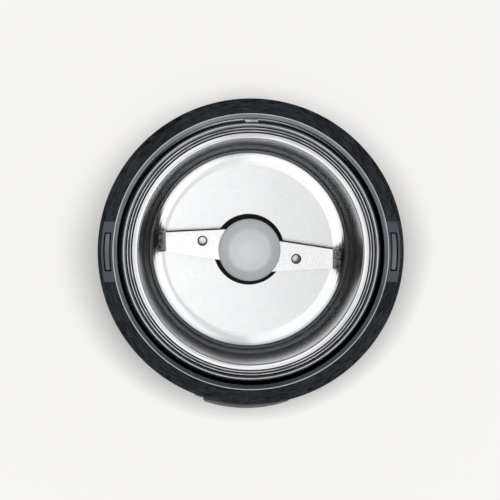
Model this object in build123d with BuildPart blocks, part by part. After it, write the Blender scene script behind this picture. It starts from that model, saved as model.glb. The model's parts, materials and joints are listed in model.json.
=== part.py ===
"""Electric spice grinder without its lid: motor base, lift-out steel bowl and two-arm blade.

Millimetres, +Z up. The origin is on the spindle axis at the height of the table. The front,
with the push button, faces -Y, the cord inlet faces +Y, and the interlock plungers are at +X and -X.
"""

from build123d import *
import os
from math import cos, radians, sin

os.makedirs("parts", exist_ok=True)

# ---------------------------------------------------------------- clearances
snug = 0.05              # between pieces that are fixed to each other
running = 0.05           # radial clearance of a shaft in its bush
play = 0.3               # between pieces that move past each other

# ---------------------------------------------------------------- bowl and rings, from the axis outwards
bowl_radius = 38.3       # inside wall of the steel bowl
bowl_sheet = 0.8
bowl_fillet = 8.5        # inside, between floor and wall
lip_reach = 2.0          # rolled lip, beyond the inside wall
lip_gap = 0.4            # between the lip and the carrier's ring
carrier_ring_width = 1.5
chamber_wall = 1.4
channel_width = 1.5      # where the skirt of the lid goes
liner_width = 1.6        # steel lead-in ring, between the channel and the rim
rim_width = 5.0

lip_radius = bowl_radius + lip_reach
carrier_ring_inner = lip_radius + lip_gap
carrier_radius = carrier_ring_inner + carrier_ring_width
chamber_inner = carrier_radius + play
chamber_outer = chamber_inner + chamber_wall
throat_radius = chamber_outer + channel_width
rim_inner = throat_radius + liner_width
rim_radius = rim_inner + rim_width

# ---------------------------------------------------------------- carrier and lead-in ring
jacket_wall = 2.0
jacket_shoulder = 7.0    # height of the carrier's wider top ring
jacket_slope = 1.0       # below that ring
ring_drop = 1.0          # top of that ring below the lip
groove_width = 0.6       # around the top of that ring
groove_depth = 0.6
liner_height = 2.8
liner_rise = 1.0         # of its slope towards the channel
liner_edge = 0.35        # flat top beside the rim
rim_inner_round = 0.3

# ---------------------------------------------------------------- heights, from the table upwards
foot_height = 3.0        # the rubber foot below the base cover
cover_thickness = 3.0
fan_floor_gap = 4.0
fan_height = 10.0
fan_bracket_gap = 4.0
bracket_thickness = 3.0
lower_post = 17.0        # from the lower bracket to the laminations
stack_height = 20.0      # laminations
upper_post = 16.0        # from the laminations to the upper bracket
grommet_height = 6.0
deck_boss_height = 7.0
deck_thickness = 2.5
carrier_rise = 5.2       # foot ring of the bowl carrier
carrier_floor = 2.5
bowl_depth = 36.0
rim_rise = 2.0           # rim above the lip of the bowl
channel_depth = 16.0
flange_thickness = 3.0

z_cover = foot_height
z_inside = z_cover + cover_thickness
z_fan = z_inside + fan_floor_gap
z_fan_top = z_fan + fan_height
z_lower_bracket = z_fan_top + fan_bracket_gap
z_stack = z_lower_bracket + bracket_thickness + lower_post
z_stack_top = z_stack + stack_height
z_upper_bracket = z_stack_top + upper_post
z_bracket_top = z_upper_bracket + bracket_thickness
z_boss = z_bracket_top + grommet_height
z_deck = z_boss + deck_boss_height
z_deck_top = z_deck + deck_thickness
z_carrier = z_deck_top + carrier_rise
z_carrier_top = z_carrier + carrier_floor
z_bowl_floor = z_carrier_top + bowl_sheet
z_lip = z_bowl_floor + bowl_depth
z_rim = z_lip + rim_rise
z_channel = z_rim - channel_depth
z_flange = z_channel - flange_thickness
z_liner = z_rim - liner_height

# ---------------------------------------------------------------- housing
housing_wall = 2.4
base_flare = 2.5         # the housing's foot, beyond the rim
shoulder_step = 0.6      # the housing's top edge, inside the rim's outer face
skirt_thickness = 1.3    # the rim's skirt, over the chamber's flange
base_edge_round = 2.0
base_radius = rim_radius + base_flare
shoulder_radius = rim_radius - shoulder_step
flange_radius = rim_radius - skirt_thickness - play

# ---------------------------------------------------------------- fasteners
screw_radius = 1.6       # shank
screw_head_radius = 2.8
screw_head_height = 1.8
base_screw_length = 14.0
screw_spare = 1.0        # free depth of a screw's hole below its tip
base_boss_radius = 4.0
base_boss_height = 18.0
base_boss_inset = 6.0    # centre of the boss, inside the housing's foot
rim_screw_radius = 1.1
rim_head_radius = 1.9
rim_screw_length = 11.0
rim_boss_radius = 3.0
rim_boss_height = 12.0
rim_boss_place = (flange_radius + rim_inner) / 2
rim_boss_angles = (30, 150, 210, 330)
base_boss_place = base_radius - base_boss_inset
base_boss_angles = (45, 135, 225, 315)

# ---------------------------------------------------------------- interlock plungers in the rim
insert_length = 20.8     # along the rim
insert_height = 9.0
insert_web = 0.6         # between the channel and the slot
insert_width = 3.8       # across the rim
slot_width = 2.4
slot_length = 13.2
insert_sink = 0.3        # below the rim's top
plunger_sink = 0.8
plunger_travel = 2.5
plunger_head_height = 10.0
plunger_stem_radius = 0.8
plunger_gap = 0.2        # between the plunger's head and its slot
plunger_spring_wire = 0.2
plunger_pocket_radius = 1.6
micro_width = 4.2        # interlock switch, across the rim
micro_length = 12.8
micro_height = 6.5
micro_pin_radius = 0.8
micro_gap = 0.3          # between the switch and the chamber
lever_thickness = 0.6
lever_width = 3.6
shelf_thickness = 2.5
shelf_margin = 1.0       # beyond the switch, along the rim
lever_drop = 2.4         # free height above the pressed-up lever
micro_floor = 1.5        # below the bore of the switch's pin
edge_break = 0.4         # small chamfer on moulded and turned pieces

slot_inner = rim_inner + insert_web
slot_middle = slot_inner + slot_width / 2
z_insert_top = z_rim - insert_sink
z_insert = z_insert_top - insert_height
z_plunger_top = z_rim - plunger_sink
z_plunger_head = z_plunger_top - plunger_head_height
z_pocket = z_plunger_head - plunger_travel - play
micro_place = chamber_outer + micro_gap + micro_width / 2
z_lever = z_flange - plunger_travel - lever_drop - play
z_micro_top = z_lever - plunger_travel - play
z_micro = z_micro_top - micro_height

# ---------------------------------------------------------------- motor
shaft_radius = 3.0
stator_width = 54.0
stator_depth = 46.0
stator_corner = 6.0
rotor_radius = 15.0
air_gap = 0.4
rotor_slots = 12
pole_half = 9.0          # half width of the pole's neck
coil_inner_x = 16.2
coil_thickness = 5.6
coil_gap = 0.2
tie_inset = 3.5          # through screws of the motor, inside the laminations' edge
tie_post_radius = 2.9
tie_x = stator_width / 2 - tie_inset
tie_y = stator_depth / 2 - tie_inset
coil_width = tie_y - tie_post_radius - pole_half - 2 * coil_gap
bearing_radius = 6.0
bearing_length = 6.6
hub_radius = 9.0
winding_radius = 13.0
winding_inner = 4.5
winding_height = 4.8
winding_round = 1.5
rotor_slot_depth = 5.0
rotor_slot_width = 2.2
commutator_radius = 8.5
commutator_gap = 1.0
commutator_bars = 12
commutator_groove = 0.5
commutator_groove_depth = 0.8
shaft_tail = 1.0         # below the fan
shaft_chamfer = 0.5
bearing_sink = 0.2       # upper bearing, below its bracket
bearing_drop = 1.5       # lower bearing, below its bracket
bearing_rise = 3.0       # upper bearing, above its bracket
window_x = 14.0          # windows of the brackets
window_y = 12.5
window_width = 11.0
window_depth = 9.0
window_round = 1.5
fan_radius = 21.0
fan_hub_radius = 7.0
fan_blades = 9
fan_plate = 1.5
fan_blade_thickness = 1.2
fan_blade_root = 0.5     # blade inside its hub
brush_width = 5.0
brush_height = 6.0
brush_length = 8.0
holder_wall = 1.4
holder_gap = 1.5         # between the commutator and the brush holder
holder_reach = 22.0      # outer end of the brush holder
brush_spring_radius = 1.8
brush_spring_wire = 0.3
grommet_radius = 4.6
grommet_place = 27.5     # in X and in Y
ear_radius = 6.5
deck_boss_radius = 5.0

# ---------------------------------------------------------------- push button on the front
button_middle = 54.0     # height of its centre
button_width = 33.0
button_height = 33.0
button_corner = 6.7
button_wall = 2.2
button_dome = 50.0       # radius of its domed face
button_reach = 10.0      # its highest point, beyond the rim
button_floor = 6.5       # thickness at that point
button_travel = 3.0
button_flange = 2.0      # hidden edge that holds it behind the bezel
button_flange_thickness = 1.5
button_stem_radius = 2.5
button_spring_radius = 3.9
button_spring_wire = 0.35
bezel_width = 3.2
bezel_drop = 1.0         # the bezel's face, behind the button's
button_edge = 1.0        # rounding of the button's face
bezel_edge = 0.8

# ---------------------------------------------------------------- main switch and its bracket
main_switch_width = 27.8
main_switch_depth = 15.9
main_switch_height = 10.3
main_pin_radius = 1.5
main_pin_inside = 2.0
switch_gap = 2.6         # between the switch and the laminations
pin_gap = 0.7            # between the switch and the pressed button's edge
switch_round = 1.0
shelf_overhang = 1.1
bracket_sheet = 2.0
bracket_inset = 2.0      # of the bracket's legs, at either end of its shelf
bracket_foot = 5.0       # foot of the bracket, beyond its legs
bracket_screw_out = 2.0  # screws beyond the legs
z_switch = button_middle - main_switch_height / 2
switch_rear = -(stator_depth / 2 + switch_gap)
switch_front = switch_rear - main_switch_depth
button_rear = switch_front - button_travel - pin_gap
bezel_rear = button_rear - button_flange_thickness - play
dome_centre = -(rim_radius + button_reach - button_dome)
button_pocket = dome_centre - button_dome + button_floor

# ---------------------------------------------------------------- coupling between motor and bowl
dog_radius = 10.0
dog_inner = 5.0
dog_claws = 3
claw_arc = 40.0
claw_height = 4.0
upper_dog_disc = 3.1
deck_hole_gap = 2.0
dam_width = 2.0
dam_height = 3.0
bush_radius = 5.5
carrier_hub_radius = 9.0
hub_clearance = 0.4      # between the carrier's hub and the deck
dog_gap = 0.5            # between the upper bearing and the lower dog
z_hub = z_deck_top + hub_clearance
z_upper_dog_top = z_hub - play
z_upper_dog = z_upper_dog_top - upper_dog_disc
z_claw_tip = z_upper_dog - claw_height
z_lower_dog_top = z_claw_tip - play
z_upper_bearing_top = z_bracket_top + bearing_rise
z_lower_dog = z_upper_bearing_top + dog_gap

# ---------------------------------------------------------------- blade and its cap
blade_thickness = 1.6
blade_rise = 9.0         # underside of the blade above the bowl's floor
blade_hub_radius = 8.0
blade_root_front = (10.5, 3.5)
blade_root_back = (9.0, -7.6)
blade_tip_front = (29.2, 0.3)
blade_tip_back = (30.2, -6.9)
blade_hole_radius = 1.6
blade_hole_place = (16.5, -3.2)
tab_lean = 1.6           # outward lean of the bent-up tip
tab_height = 6.0
gasket_radius = 12.6
gasket_height = 2.8
gasket_edge = 1.0
spacer_radius = 6.5
cap_radius = 10.9
cap_skirt = 1.8
cap_crown = 4.8
cap_edge = 1.0
shaft_in_cap = 3.9
z_blade = z_bowl_floor + blade_rise
z_blade_top = z_blade + blade_thickness
z_gasket_top = z_bowl_floor + gasket_height

# ---------------------------------------------------------------- base, board and inlet
foot_inset = 12.0        # foot ring, inside the housing's foot
foot_width = 5.0
foot_edge = 0.5
foot_groove = 0.8
cover_gap = 0.15
vent_count = 16
vent_radius = 24.0
vent_length = 10.0
vent_width = 2.4
board_width = 36.0
board_height = 38.0
board_thickness = 1.6
board_place = 33.0       # front face of the board, behind the axis
rib_height = 9.0
rib_thickness = 1.6
rib_length = 5.0
capacitor_width = 18.0
capacitor_depth = 8.0
capacitor_height = 15.0
capacitor_rise = 14.0
inlet_height = 22.0
inlet_radius = 8.0
inlet_flange_radius = 10.5
inlet_flange = 2.5
inlet_edge = 1.0
inlet_bore = 3.7
inlet_throat = 4.0       # close bore at the inner end; the rest flares out for the cord
inlet_mouth = 5.4
inlet_inside = 8.0
key_width = 5.0
key_thickness = 1.0
key_height = 9.0
trim_height = 1.2
collar_drop = 1.5        # top of the collar trim below the rim
trim_round = 0.56
key_round = 0.3
foot_radius = base_radius - foot_inset


def housing_radius(z):
    """Outer radius of the tapered housing at height z."""
    share = (z - z_cover) / (z_flange - z_cover)
    return base_radius + (shoulder_radius - base_radius) * share


def polar(radius, angle):
    """Point on a circle about the spindle axis."""
    return (radius * cos(radians(angle)), radius * sin(radians(angle)))


def screw(place, z_head, length, shank, head, downward):
    """Pan-head screw: the head's outer face is at z_head and the shank runs downward or upward."""
    turn = -1 if downward else 1
    with BuildPart() as body:
        with BuildSketch(Plane(origin=(*place, z_head), z_dir=(0, 0, turn))):
            Circle(head)
        extrude(amount=screw_head_height)
        with BuildSketch(Plane(origin=(*place, z_head + turn * screw_head_height), z_dir=(0, 0, turn))):
            Circle(shank)
        extrude(amount=length)
        chamfer(body.edges().filter_by(GeomType.CIRCLE).sort_by(Axis.Z)[-1 if downward else 0], length=edge_break)
    return body.part


def coil(origin, direction, length, radius, wire, turns):
    """Round-wire compression spring that fits between two seats a length apart."""
    inset = wire + snug
    height = length - 2 * inset
    start = Vector(*origin) + Vector(*direction) * inset
    with BuildPart() as body:
        with BuildLine() as path:
            Helix(pitch=height / turns, height=height, radius=radius, center=start, direction=direction)
        with BuildSketch(Plane(origin=path.line @ 0, z_dir=path.line % 0)):
            Circle(wire)
        sweep()
    return body.part


def ring_sector(plane, inner, outer, length):
    """Sketch of a ring's stretch about the plane's x axis, with parallel ends a length apart."""
    with BuildSketch(plane) as shape:
        Circle(outer)
        Circle(inner, mode=Mode.SUBTRACT)
        with Locations(((inner + outer) / 2, 0)):
            Rectangle(outer, length, mode=Mode.INTERSECT)
    return shape.sketch


def side_plane(side, z):
    """Plane at height z whose x axis points to the plunger on the given side."""
    return Plane(origin=(0, 0, z), x_dir=(side, 0, 0), z_dir=(0, 0, 1))


# ================================================================ housing shell
with BuildPart() as cavity:
    with BuildSketch(Plane.XZ):
        Polygon(
            (0, z_cover),
            (base_radius - housing_wall, z_cover),
            (shoulder_radius - housing_wall, z_flange),
            (0, z_flange),
            align=None,
        )
    revolve(axis=Axis.Z)
    with BuildSketch(Plane.XY.offset(z_inside)):
        with Locations(*[polar(base_boss_place, angle) for angle in base_boss_angles]):
            Circle(base_boss_radius)
    extrude(amount=base_boss_height, mode=Mode.SUBTRACT)
    with BuildSketch(Plane.XY.offset(z_flange)):
        with Locations(*[polar(rim_boss_place, angle) for angle in rim_boss_angles]):
            Circle(rim_boss_radius)
    extrude(amount=-rim_boss_height, mode=Mode.SUBTRACT)
    for side in (1, -1):
        shelf = side_plane(side, z_micro - shelf_thickness)
        with BuildSketch(shelf):
            with Locations((micro_place + rim_width / 2, 0)):
                Rectangle(micro_width + rim_width, micro_length + 2 * shelf_margin)
        extrude(amount=shelf_thickness, mode=Mode.SUBTRACT)

with BuildPart() as housing_shell:
    with BuildSketch(Plane.XZ):
        Polygon(
            (0, z_cover),
            (base_radius, z_cover),
            (shoulder_radius, z_flange),
            (0, z_flange),
            align=None,
        )
    revolve(axis=Axis.Z)
    fillet(housing_shell.edges().group_by(Axis.Z)[0], radius=base_edge_round)
    add(cavity.part, mode=Mode.SUBTRACT)
    with BuildSketch(Plane.XY.offset(z_inside)):
        with Locations(*[polar(base_boss_place, angle) for angle in base_boss_angles]):
            Circle(screw_radius + snug)
    extrude(amount=base_screw_length, mode=Mode.SUBTRACT)
    with BuildSketch(Plane.XY.offset(z_flange)):
        with Locations(*[polar(rim_boss_place, angle) for angle in rim_boss_angles]):
            Circle(rim_screw_radius + snug)
    extrude(amount=-rim_boss_height, mode=Mode.SUBTRACT)
    with BuildSketch(Plane.XY.offset(z_flange - rim_boss_height)):
        with Locations(*[polar(rim_boss_place, angle) for angle in rim_boss_angles]):
            Circle(rim_head_radius + snug)
    extrude(amount=-screw_head_height - play, mode=Mode.SUBTRACT)
    for side in (1, -1):
        with BuildSketch(side_plane(side, z_flange)):
            with Locations((slot_middle, 0)):
                Rectangle(slot_width, lever_width + 4 * play)
        extrude(amount=-(z_flange - z_micro), mode=Mode.SUBTRACT)
    with BuildSketch(Plane.XZ.offset(-switch_front)):
        with Locations((0, button_middle)):
            RectangleRounded(
                button_width + 2 * (play + bezel_width + snug),
                button_height + 2 * (play + bezel_width + snug),
                button_corner + bezel_width + play,
            )
    extrude(amount=button_dome / 2, mode=Mode.SUBTRACT)
    with BuildSketch(Plane.XZ.offset(-base_radius - inlet_flange)):
        with Locations((0, inlet_height)):
            Circle(inlet_radius + snug)
    extrude(amount=2 * inlet_inside, mode=Mode.SUBTRACT)
housing_shell.part.label = "housing_shell"
export_step(housing_shell.part, "parts/housing_shell.step")

# ================================================================ rim ring
with BuildPart() as rim_ring:
    with BuildSketch(Plane.XZ):
        Polygon(
            (throat_radius, z_channel),
            (flange_radius + play, z_channel),
            (flange_radius + play, z_flange + snug),
            (rim_radius, z_flange + snug),
            (rim_radius, z_rim),
            (rim_inner, z_rim),
            (rim_inner, z_liner),
            (throat_radius, z_liner),
            align=None,
        )
    revolve(axis=Axis.Z)
    fillet(rim_ring.edges().group_by(Axis.Z)[-1].sort_by(SortBy.LENGTH)[-1], radius=skirt_thickness)
    fillet(rim_ring.edges().group_by(Axis.Z)[-1].sort_by(SortBy.LENGTH)[0], radius=rim_inner_round)
    for side in (1, -1):
        pocket = ring_sector(side_plane(side, z_rim), rim_inner, rim_inner + insert_width, insert_length)
        extrude(pocket, amount=-(z_rim - z_pocket), mode=Mode.SUBTRACT)
        with BuildSketch(side_plane(side, z_channel)):
            with Locations((slot_middle, 0)):
                Circle(plunger_pocket_radius)
        extrude(amount=z_pocket - z_channel, mode=Mode.SUBTRACT)
    with BuildSketch(Plane.XY.offset(z_channel)):
        with Locations(*[polar(rim_boss_place, angle) for angle in rim_boss_angles]):
            Circle(rim_screw_radius + snug)
    extrude(amount=rim_screw_length, mode=Mode.SUBTRACT)
rim_ring.part.label = "rim_ring"
export_step(rim_ring.part, "parts/rim_ring.step")

with BuildPart() as rim_liner:
    with BuildSketch(Plane.XZ):
        Polygon(
            (throat_radius, z_liner),
            (rim_inner - snug, z_liner),
            (rim_inner - snug, z_rim),
            (rim_inner - snug - liner_edge, z_rim),
            (throat_radius, z_rim - liner_rise),
            align=None,
        )
    revolve(axis=Axis.Z)
rim_liner.part.label = "rim_liner"
export_step(rim_liner.part, "parts/rim_liner.step")

# ================================================================ bowl chamber with its deck
deck_hole = dog_radius + deck_hole_gap
z_collar_top = z_rim - collar_drop
z_collar = z_collar_top - trim_height
with BuildPart() as bowl_chamber:
    with BuildSketch(Plane.XZ):
        Polygon(
            (deck_hole, z_deck),
            (chamber_outer, z_deck),
            (chamber_outer, z_flange),
            (flange_radius, z_flange),
            (flange_radius, z_channel),
            (chamber_outer, z_channel),
            (chamber_outer, z_collar),
            (chamber_inner, z_collar),
            (chamber_inner, z_deck_top),
            (deck_hole + dam_width, z_deck_top),
            (deck_hole + dam_width, z_deck_top + dam_height),
            (deck_hole, z_deck_top + dam_height),
            align=None,
        )
    revolve(axis=Axis.Z)
    with BuildSketch(Plane.XY.offset(z_deck)):
        with GridLocations(2 * grommet_place, 2 * grommet_place, 2, 2):
            Circle(deck_boss_radius)
    extrude(amount=-deck_boss_height)
    with BuildSketch(Plane.XY.offset(z_boss)):
        with GridLocations(2 * grommet_place, 2 * grommet_place, 2, 2):
            Circle(screw_radius + snug)
    extrude(amount=deck_boss_height, mode=Mode.SUBTRACT)
    with BuildSketch(Plane.XY.offset(z_flange)):
        with Locations(*[polar(rim_boss_place, angle) for angle in rim_boss_angles]):
            Circle(rim_screw_radius + snug)
        with Locations((slot_middle, 0), (-slot_middle, 0)):
            Circle(plunger_stem_radius + play)
    extrude(amount=flange_thickness, mode=Mode.SUBTRACT)
bowl_chamber.part.label = "bowl_chamber"
export_step(bowl_chamber.part, "parts/bowl_chamber.step")

with BuildPart() as collar_trim:
    with BuildSketch(Plane.XZ):
        Polygon(
            (chamber_inner, z_collar),
            (chamber_outer, z_collar),
            (chamber_outer, z_collar_top),
            (chamber_inner, z_collar_top),
            align=None,
        )
    revolve(axis=Axis.Z)
    fillet(collar_trim.edges().group_by(Axis.Z)[-1], radius=trim_round)
collar_trim.part.label = "collar_trim"
export_step(collar_trim.part, "parts/collar_trim.step")

with BuildPart() as lid_key:
    with BuildSketch(Plane.XY.offset(z_collar)):
        with Locations((0, chamber_outer + snug + key_thickness / 2)):
            Rectangle(key_width, key_thickness)
    extrude(amount=-key_height)
    chamfer(lid_key.edges().group_by(Axis.Z)[-1], length=key_round)
lid_key.part.label = "lid_key"
export_step(lid_key.part, "parts/lid_key.step")

# ================================================================ interlock: inserts, plungers, springs, switches
for side, side_name in ((1, "right"), (-1, "left")):
    with BuildPart() as slot_insert:
        plate = ring_sector(
            side_plane(side, z_insert), rim_inner + snug, rim_inner + insert_width - snug, insert_length - 2 * snug
        )
        extrude(plate, amount=insert_height)
        slot = ring_sector(side_plane(side, z_insert), slot_inner, slot_inner + slot_width, slot_length)
        extrude(slot, amount=insert_height, mode=Mode.SUBTRACT)
        chamfer(slot_insert.faces().sort_by(Axis.Z)[-1].outer_wire().edges(), length=insert_sink)
    slot_insert.part.label = f"{side_name}_slot_insert"
    export_step(slot_insert.part, f"parts/{side_name}_slot_insert.step")

    with BuildPart() as plunger:
        head = ring_sector(
            side_plane(side, z_plunger_head),
            slot_inner + plunger_gap,
            slot_inner + slot_width - plunger_gap,
            slot_length - 2 * plunger_gap,
        )
        extrude(head, amount=plunger_head_height)
        chamfer(plunger.faces().sort_by(Axis.Z)[-1].edges(), length=plunger_gap)
        with BuildSketch(side_plane(side, z_plunger_head)):
            with Locations((slot_middle, 0)):
                Circle(plunger_stem_radius)
        extrude(amount=-(z_plunger_head - z_lever - lever_thickness))
    plunger.part.label = f"{side_name}_interlock_plunger"
    export_step(plunger.part, f"parts/{side_name}_interlock_plunger.step")

    plunger_spring = coil(
        (side * slot_middle, 0, z_channel),
        (0, 0, 1),
        z_plunger_head - z_channel,
        plunger_stem_radius + (plunger_pocket_radius - plunger_stem_radius) / 2,
        plunger_spring_wire,
        6,
    )
    plunger_spring.label = f"{side_name}_plunger_spring"
    export_step(plunger_spring, f"parts/{side_name}_plunger_spring.step")

    with BuildPart() as lever:
        lever_start = micro_place - 2 * micro_pin_radius
        lever_end = slot_middle + plunger_stem_radius
        with BuildSketch(side_plane(side, z_lever)):
            with Locations(((lever_start + lever_end) / 2, 0)):
                Rectangle(lever_end - lever_start, lever_width)
        extrude(amount=lever_thickness)
        with BuildSketch(side_plane(side, z_lever)):
            with Locations((micro_place, 0)):
                Circle(micro_pin_radius)
        extrude(amount=-(plunger_travel + 2 * play + micro_pin_radius))
    lever.part.label = f"{side_name}_switch_lever"
    export_step(lever.part, f"parts/{side_name}_switch_lever.step")

    with BuildPart() as micro_switch:
        with BuildSketch(side_plane(side, z_micro)):
            with Locations((micro_place, 0)):
                Rectangle(micro_width, micro_length)
        extrude(amount=micro_height)
        chamfer(micro_switch.edges().filter_by(Axis.Z), length=edge_break)
        with BuildSketch(side_plane(side, z_micro_top)):
            with Locations((micro_place, 0)):
                Circle(micro_pin_radius + running)
        extrude(amount=-(micro_height - micro_floor), mode=Mode.SUBTRACT)
    micro_switch.part.label = f"{side_name}_interlock_switch"
    export_step(micro_switch.part, f"parts/{side_name}_interlock_switch.step")

# ================================================================ bowl: steel bowl, carrier, bush and gasket
with BuildPart() as steel_bowl:
    with BuildSketch(Plane.XZ):
        with BuildLine() as wall_line:
            floor_line = Line((bush_radius + snug, z_bowl_floor), (bowl_radius - bowl_fillet, z_bowl_floor))
            corner = JernArc(floor_line @ 1, (1, 0), bowl_fillet, 90)
            side_line = Line(corner @ 1, (bowl_radius, z_lip - lip_reach))
            JernArc(side_line @ 1, (0, 1), lip_reach, -90)
            offset(amount=bowl_sheet, side=Side.RIGHT)
        make_face()
    revolve(axis=Axis.Z)
steel_bowl.part.label = "steel_bowl"
export_step(steel_bowl.part, "parts/steel_bowl.step")

seat_drop = lip_reach + play
bowl_outer = bowl_radius + bowl_sheet + snug
jacket_outer = bowl_outer + jacket_wall
ring_top = z_lip - ring_drop
groove_middle = (carrier_ring_inner + carrier_radius) / 2
with BuildPart() as bowl_carrier:
    with BuildSketch(Plane.XZ):
        Polygon(
            (bush_radius + snug, z_hub),
            (carrier_hub_radius, z_hub),
            (carrier_hub_radius, z_carrier),
            (bowl_outer - 2 * jacket_wall, z_carrier),
            (bowl_outer - 2 * jacket_wall, z_deck_top),
            (bowl_outer - jacket_wall / 2, z_deck_top),
            (jacket_outer, z_carrier),
            (jacket_outer, ring_top - jacket_shoulder - jacket_slope),
            (carrier_radius, ring_top - jacket_shoulder),
            (carrier_radius, ring_top),
            (groove_middle + groove_width / 2, ring_top),
            (groove_middle + groove_width / 2, ring_top - groove_depth),
            (groove_middle - groove_width / 2, ring_top - groove_depth),
            (groove_middle - groove_width / 2, ring_top),
            (carrier_ring_inner, ring_top),
            (carrier_ring_inner, z_lip - seat_drop),
            (bowl_outer, z_lip - seat_drop),
            (bowl_outer, z_carrier_top),
            (bush_radius + snug, z_carrier_top),
            align=None,
        )
    revolve(axis=Axis.Z)
bowl_carrier.part.label = "bowl_carrier"
export_step(bowl_carrier.part, "parts/bowl_carrier.step")

with BuildPart() as shaft_bush:
    with BuildSketch(Plane.XY.offset(z_hub)):
        Circle(bush_radius)
        Circle(shaft_radius + running, mode=Mode.SUBTRACT)
    extrude(amount=z_bowl_floor - z_hub)
shaft_bush.part.label = "shaft_bush"
export_step(shaft_bush.part, "parts/shaft_bush.step")

with BuildPart() as bowl_gasket:
    with BuildSketch(Plane.XY.offset(z_bowl_floor)):
        Circle(gasket_radius)
        Circle(shaft_radius + play, mode=Mode.SUBTRACT)
    extrude(amount=gasket_height)
    fillet(bowl_gasket.edges().group_by(Axis.Z)[-1].sort_by(SortBy.LENGTH)[-1], radius=gasket_edge)
bowl_gasket.part.label = "bowl_gasket"
export_step(bowl_gasket.part, "parts/bowl_gasket.step")

# ================================================================ blade, shaft, spacer and cap
with BuildPart() as blade_shaft:
    with BuildSketch(Plane.XY.offset(z_upper_dog)):
        Circle(shaft_radius)
    extrude(amount=z_blade_top + shaft_in_cap - z_upper_dog)
    chamfer(blade_shaft.edges().group_by(Axis.Z)[-1], length=shaft_chamfer)
blade_shaft.part.label = "blade_shaft"
export_step(blade_shaft.part, "parts/blade_shaft.step")

with BuildPart() as blade_spacer:
    with BuildSketch(Plane.XY.offset(z_gasket_top + play)):
        Circle(spacer_radius)
        Circle(shaft_radius + snug, mode=Mode.SUBTRACT)
    extrude(amount=z_blade - z_gasket_top - play)
blade_spacer.part.label = "blade_spacer"
export_step(blade_spacer.part, "parts/blade_spacer.step")

tip_edge = Vector(*blade_tip_back) - Vector(*blade_tip_front)
tip_outward = Vector(-tip_edge.Y, tip_edge.X).normalized()
tip_plane = Plane(origin=(*blade_tip_front, z_blade), x_dir=tip_outward, z_dir=tip_edge)
tab_up = 1 if tip_plane.y_dir.Z > 0 else -1
with BuildPart() as arm:
    with BuildSketch(Plane.XY.offset(z_blade)):
        Polygon(
            (0, blade_hub_radius * 0.6),
            blade_root_front,
            blade_tip_front,
            blade_tip_back,
            blade_root_back,
            (0, -blade_hub_radius),
            align=None,
        )
    extrude(amount=blade_thickness)
    with BuildSketch(tip_plane):
        Polygon(
            (-blade_thickness, 0),
            (0, 0),
            (tab_lean, tab_up * tab_height),
            (tab_lean - blade_thickness, tab_up * tab_height),
            align=None,
        )
    extrude(amount=tip_edge.length)
    with BuildSketch(Plane.XY.offset(z_blade)):
        with Locations(blade_hole_place):
            Circle(blade_hole_radius)
    extrude(amount=blade_thickness, mode=Mode.SUBTRACT)

with BuildPart() as blade:
    with BuildSketch(Plane.XY.offset(z_blade)):
        Circle(blade_hub_radius)
    extrude(amount=blade_thickness)
    add(arm.part)
    add(arm.part, rotation=(0, 0, 180))
    with BuildSketch(Plane.XY.offset(z_blade)):
        Circle(shaft_radius + snug)
    extrude(amount=blade_thickness, mode=Mode.SUBTRACT)
blade.part.label = "blade"
export_step(blade.part, "parts/blade.step")

with BuildPart() as blade_cap:
    with BuildSketch(Plane.XZ):
        with BuildLine():
            apex = (0, z_blade_top + cap_skirt + cap_crown)
            shoulder = (cap_radius, z_blade_top + cap_skirt)
            TangentArc(apex, shoulder, tangent=(1, 0))
            Polyline(
                shoulder,
                (cap_radius, z_blade_top),
                (shaft_radius + snug, z_blade_top),
                (shaft_radius + snug, z_blade_top + shaft_in_cap + snug),
                (0, z_blade_top + shaft_in_cap + snug),
                apex,
            )
        make_face()
    revolve(axis=Axis.Z)
    fillet(blade_cap.edges().filter_by_position(Axis.Z, shoulder[1], shoulder[1]), radius=cap_edge)
blade_cap.part.label = "blade_cap"
export_step(blade_cap.part, "parts/blade_cap.step")


# ================================================================ coupling dogs
def dog(z_disc, disc_height, z_claws, first_angle):
    """Disc on the shaft with claws that reach into the gaps of the other dog."""
    with BuildPart() as body:
        with BuildSketch(Plane.XY.offset(z_disc)):
            Circle(dog_radius)
        extrude(amount=disc_height)
        with BuildSketch(Plane.XY.offset(z_claws)):
            for number in range(dog_claws):
                start = first_angle + number * 360 / dog_claws - claw_arc / 2
                with BuildLine():
                    outer_arc = CenterArc((0, 0), dog_radius, start, claw_arc)
                    inner_arc = CenterArc((0, 0), dog_inner, start, claw_arc)
                    Line(outer_arc @ 0, inner_arc @ 0)
                    Line(outer_arc @ 1, inner_arc @ 1)
                make_face()
        extrude(amount=claw_height)
        with BuildSketch(Plane.XY.offset(z_disc)):
            Circle(shaft_radius + snug)
        extrude(amount=disc_height, mode=Mode.SUBTRACT)
    return body.part


upper_dog = dog(z_upper_dog, upper_dog_disc, z_claw_tip, 0)
upper_dog.label = "upper_drive_dog"
export_step(upper_dog, "parts/upper_drive_dog.step")

lower_dog = dog(z_lower_dog, z_lower_dog_top - z_lower_dog, z_lower_dog_top, 180 / dog_claws)
lower_dog.label = "lower_drive_dog"
export_step(lower_dog, "parts/lower_drive_dog.step")

# ================================================================ motor: shaft, rotor, windings, commutator, fan
with BuildPart() as motor_shaft:
    with BuildSketch(Plane.XY.offset(z_fan - shaft_tail)):
        Circle(shaft_radius)
    extrude(amount=z_lower_dog_top - z_fan + shaft_tail)
    chamfer(motor_shaft.edges().group_by(Axis.Z)[0], length=shaft_chamfer)
motor_shaft.part.label = "motor_shaft"
export_step(motor_shaft.part, "parts/motor_shaft.step")

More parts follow.
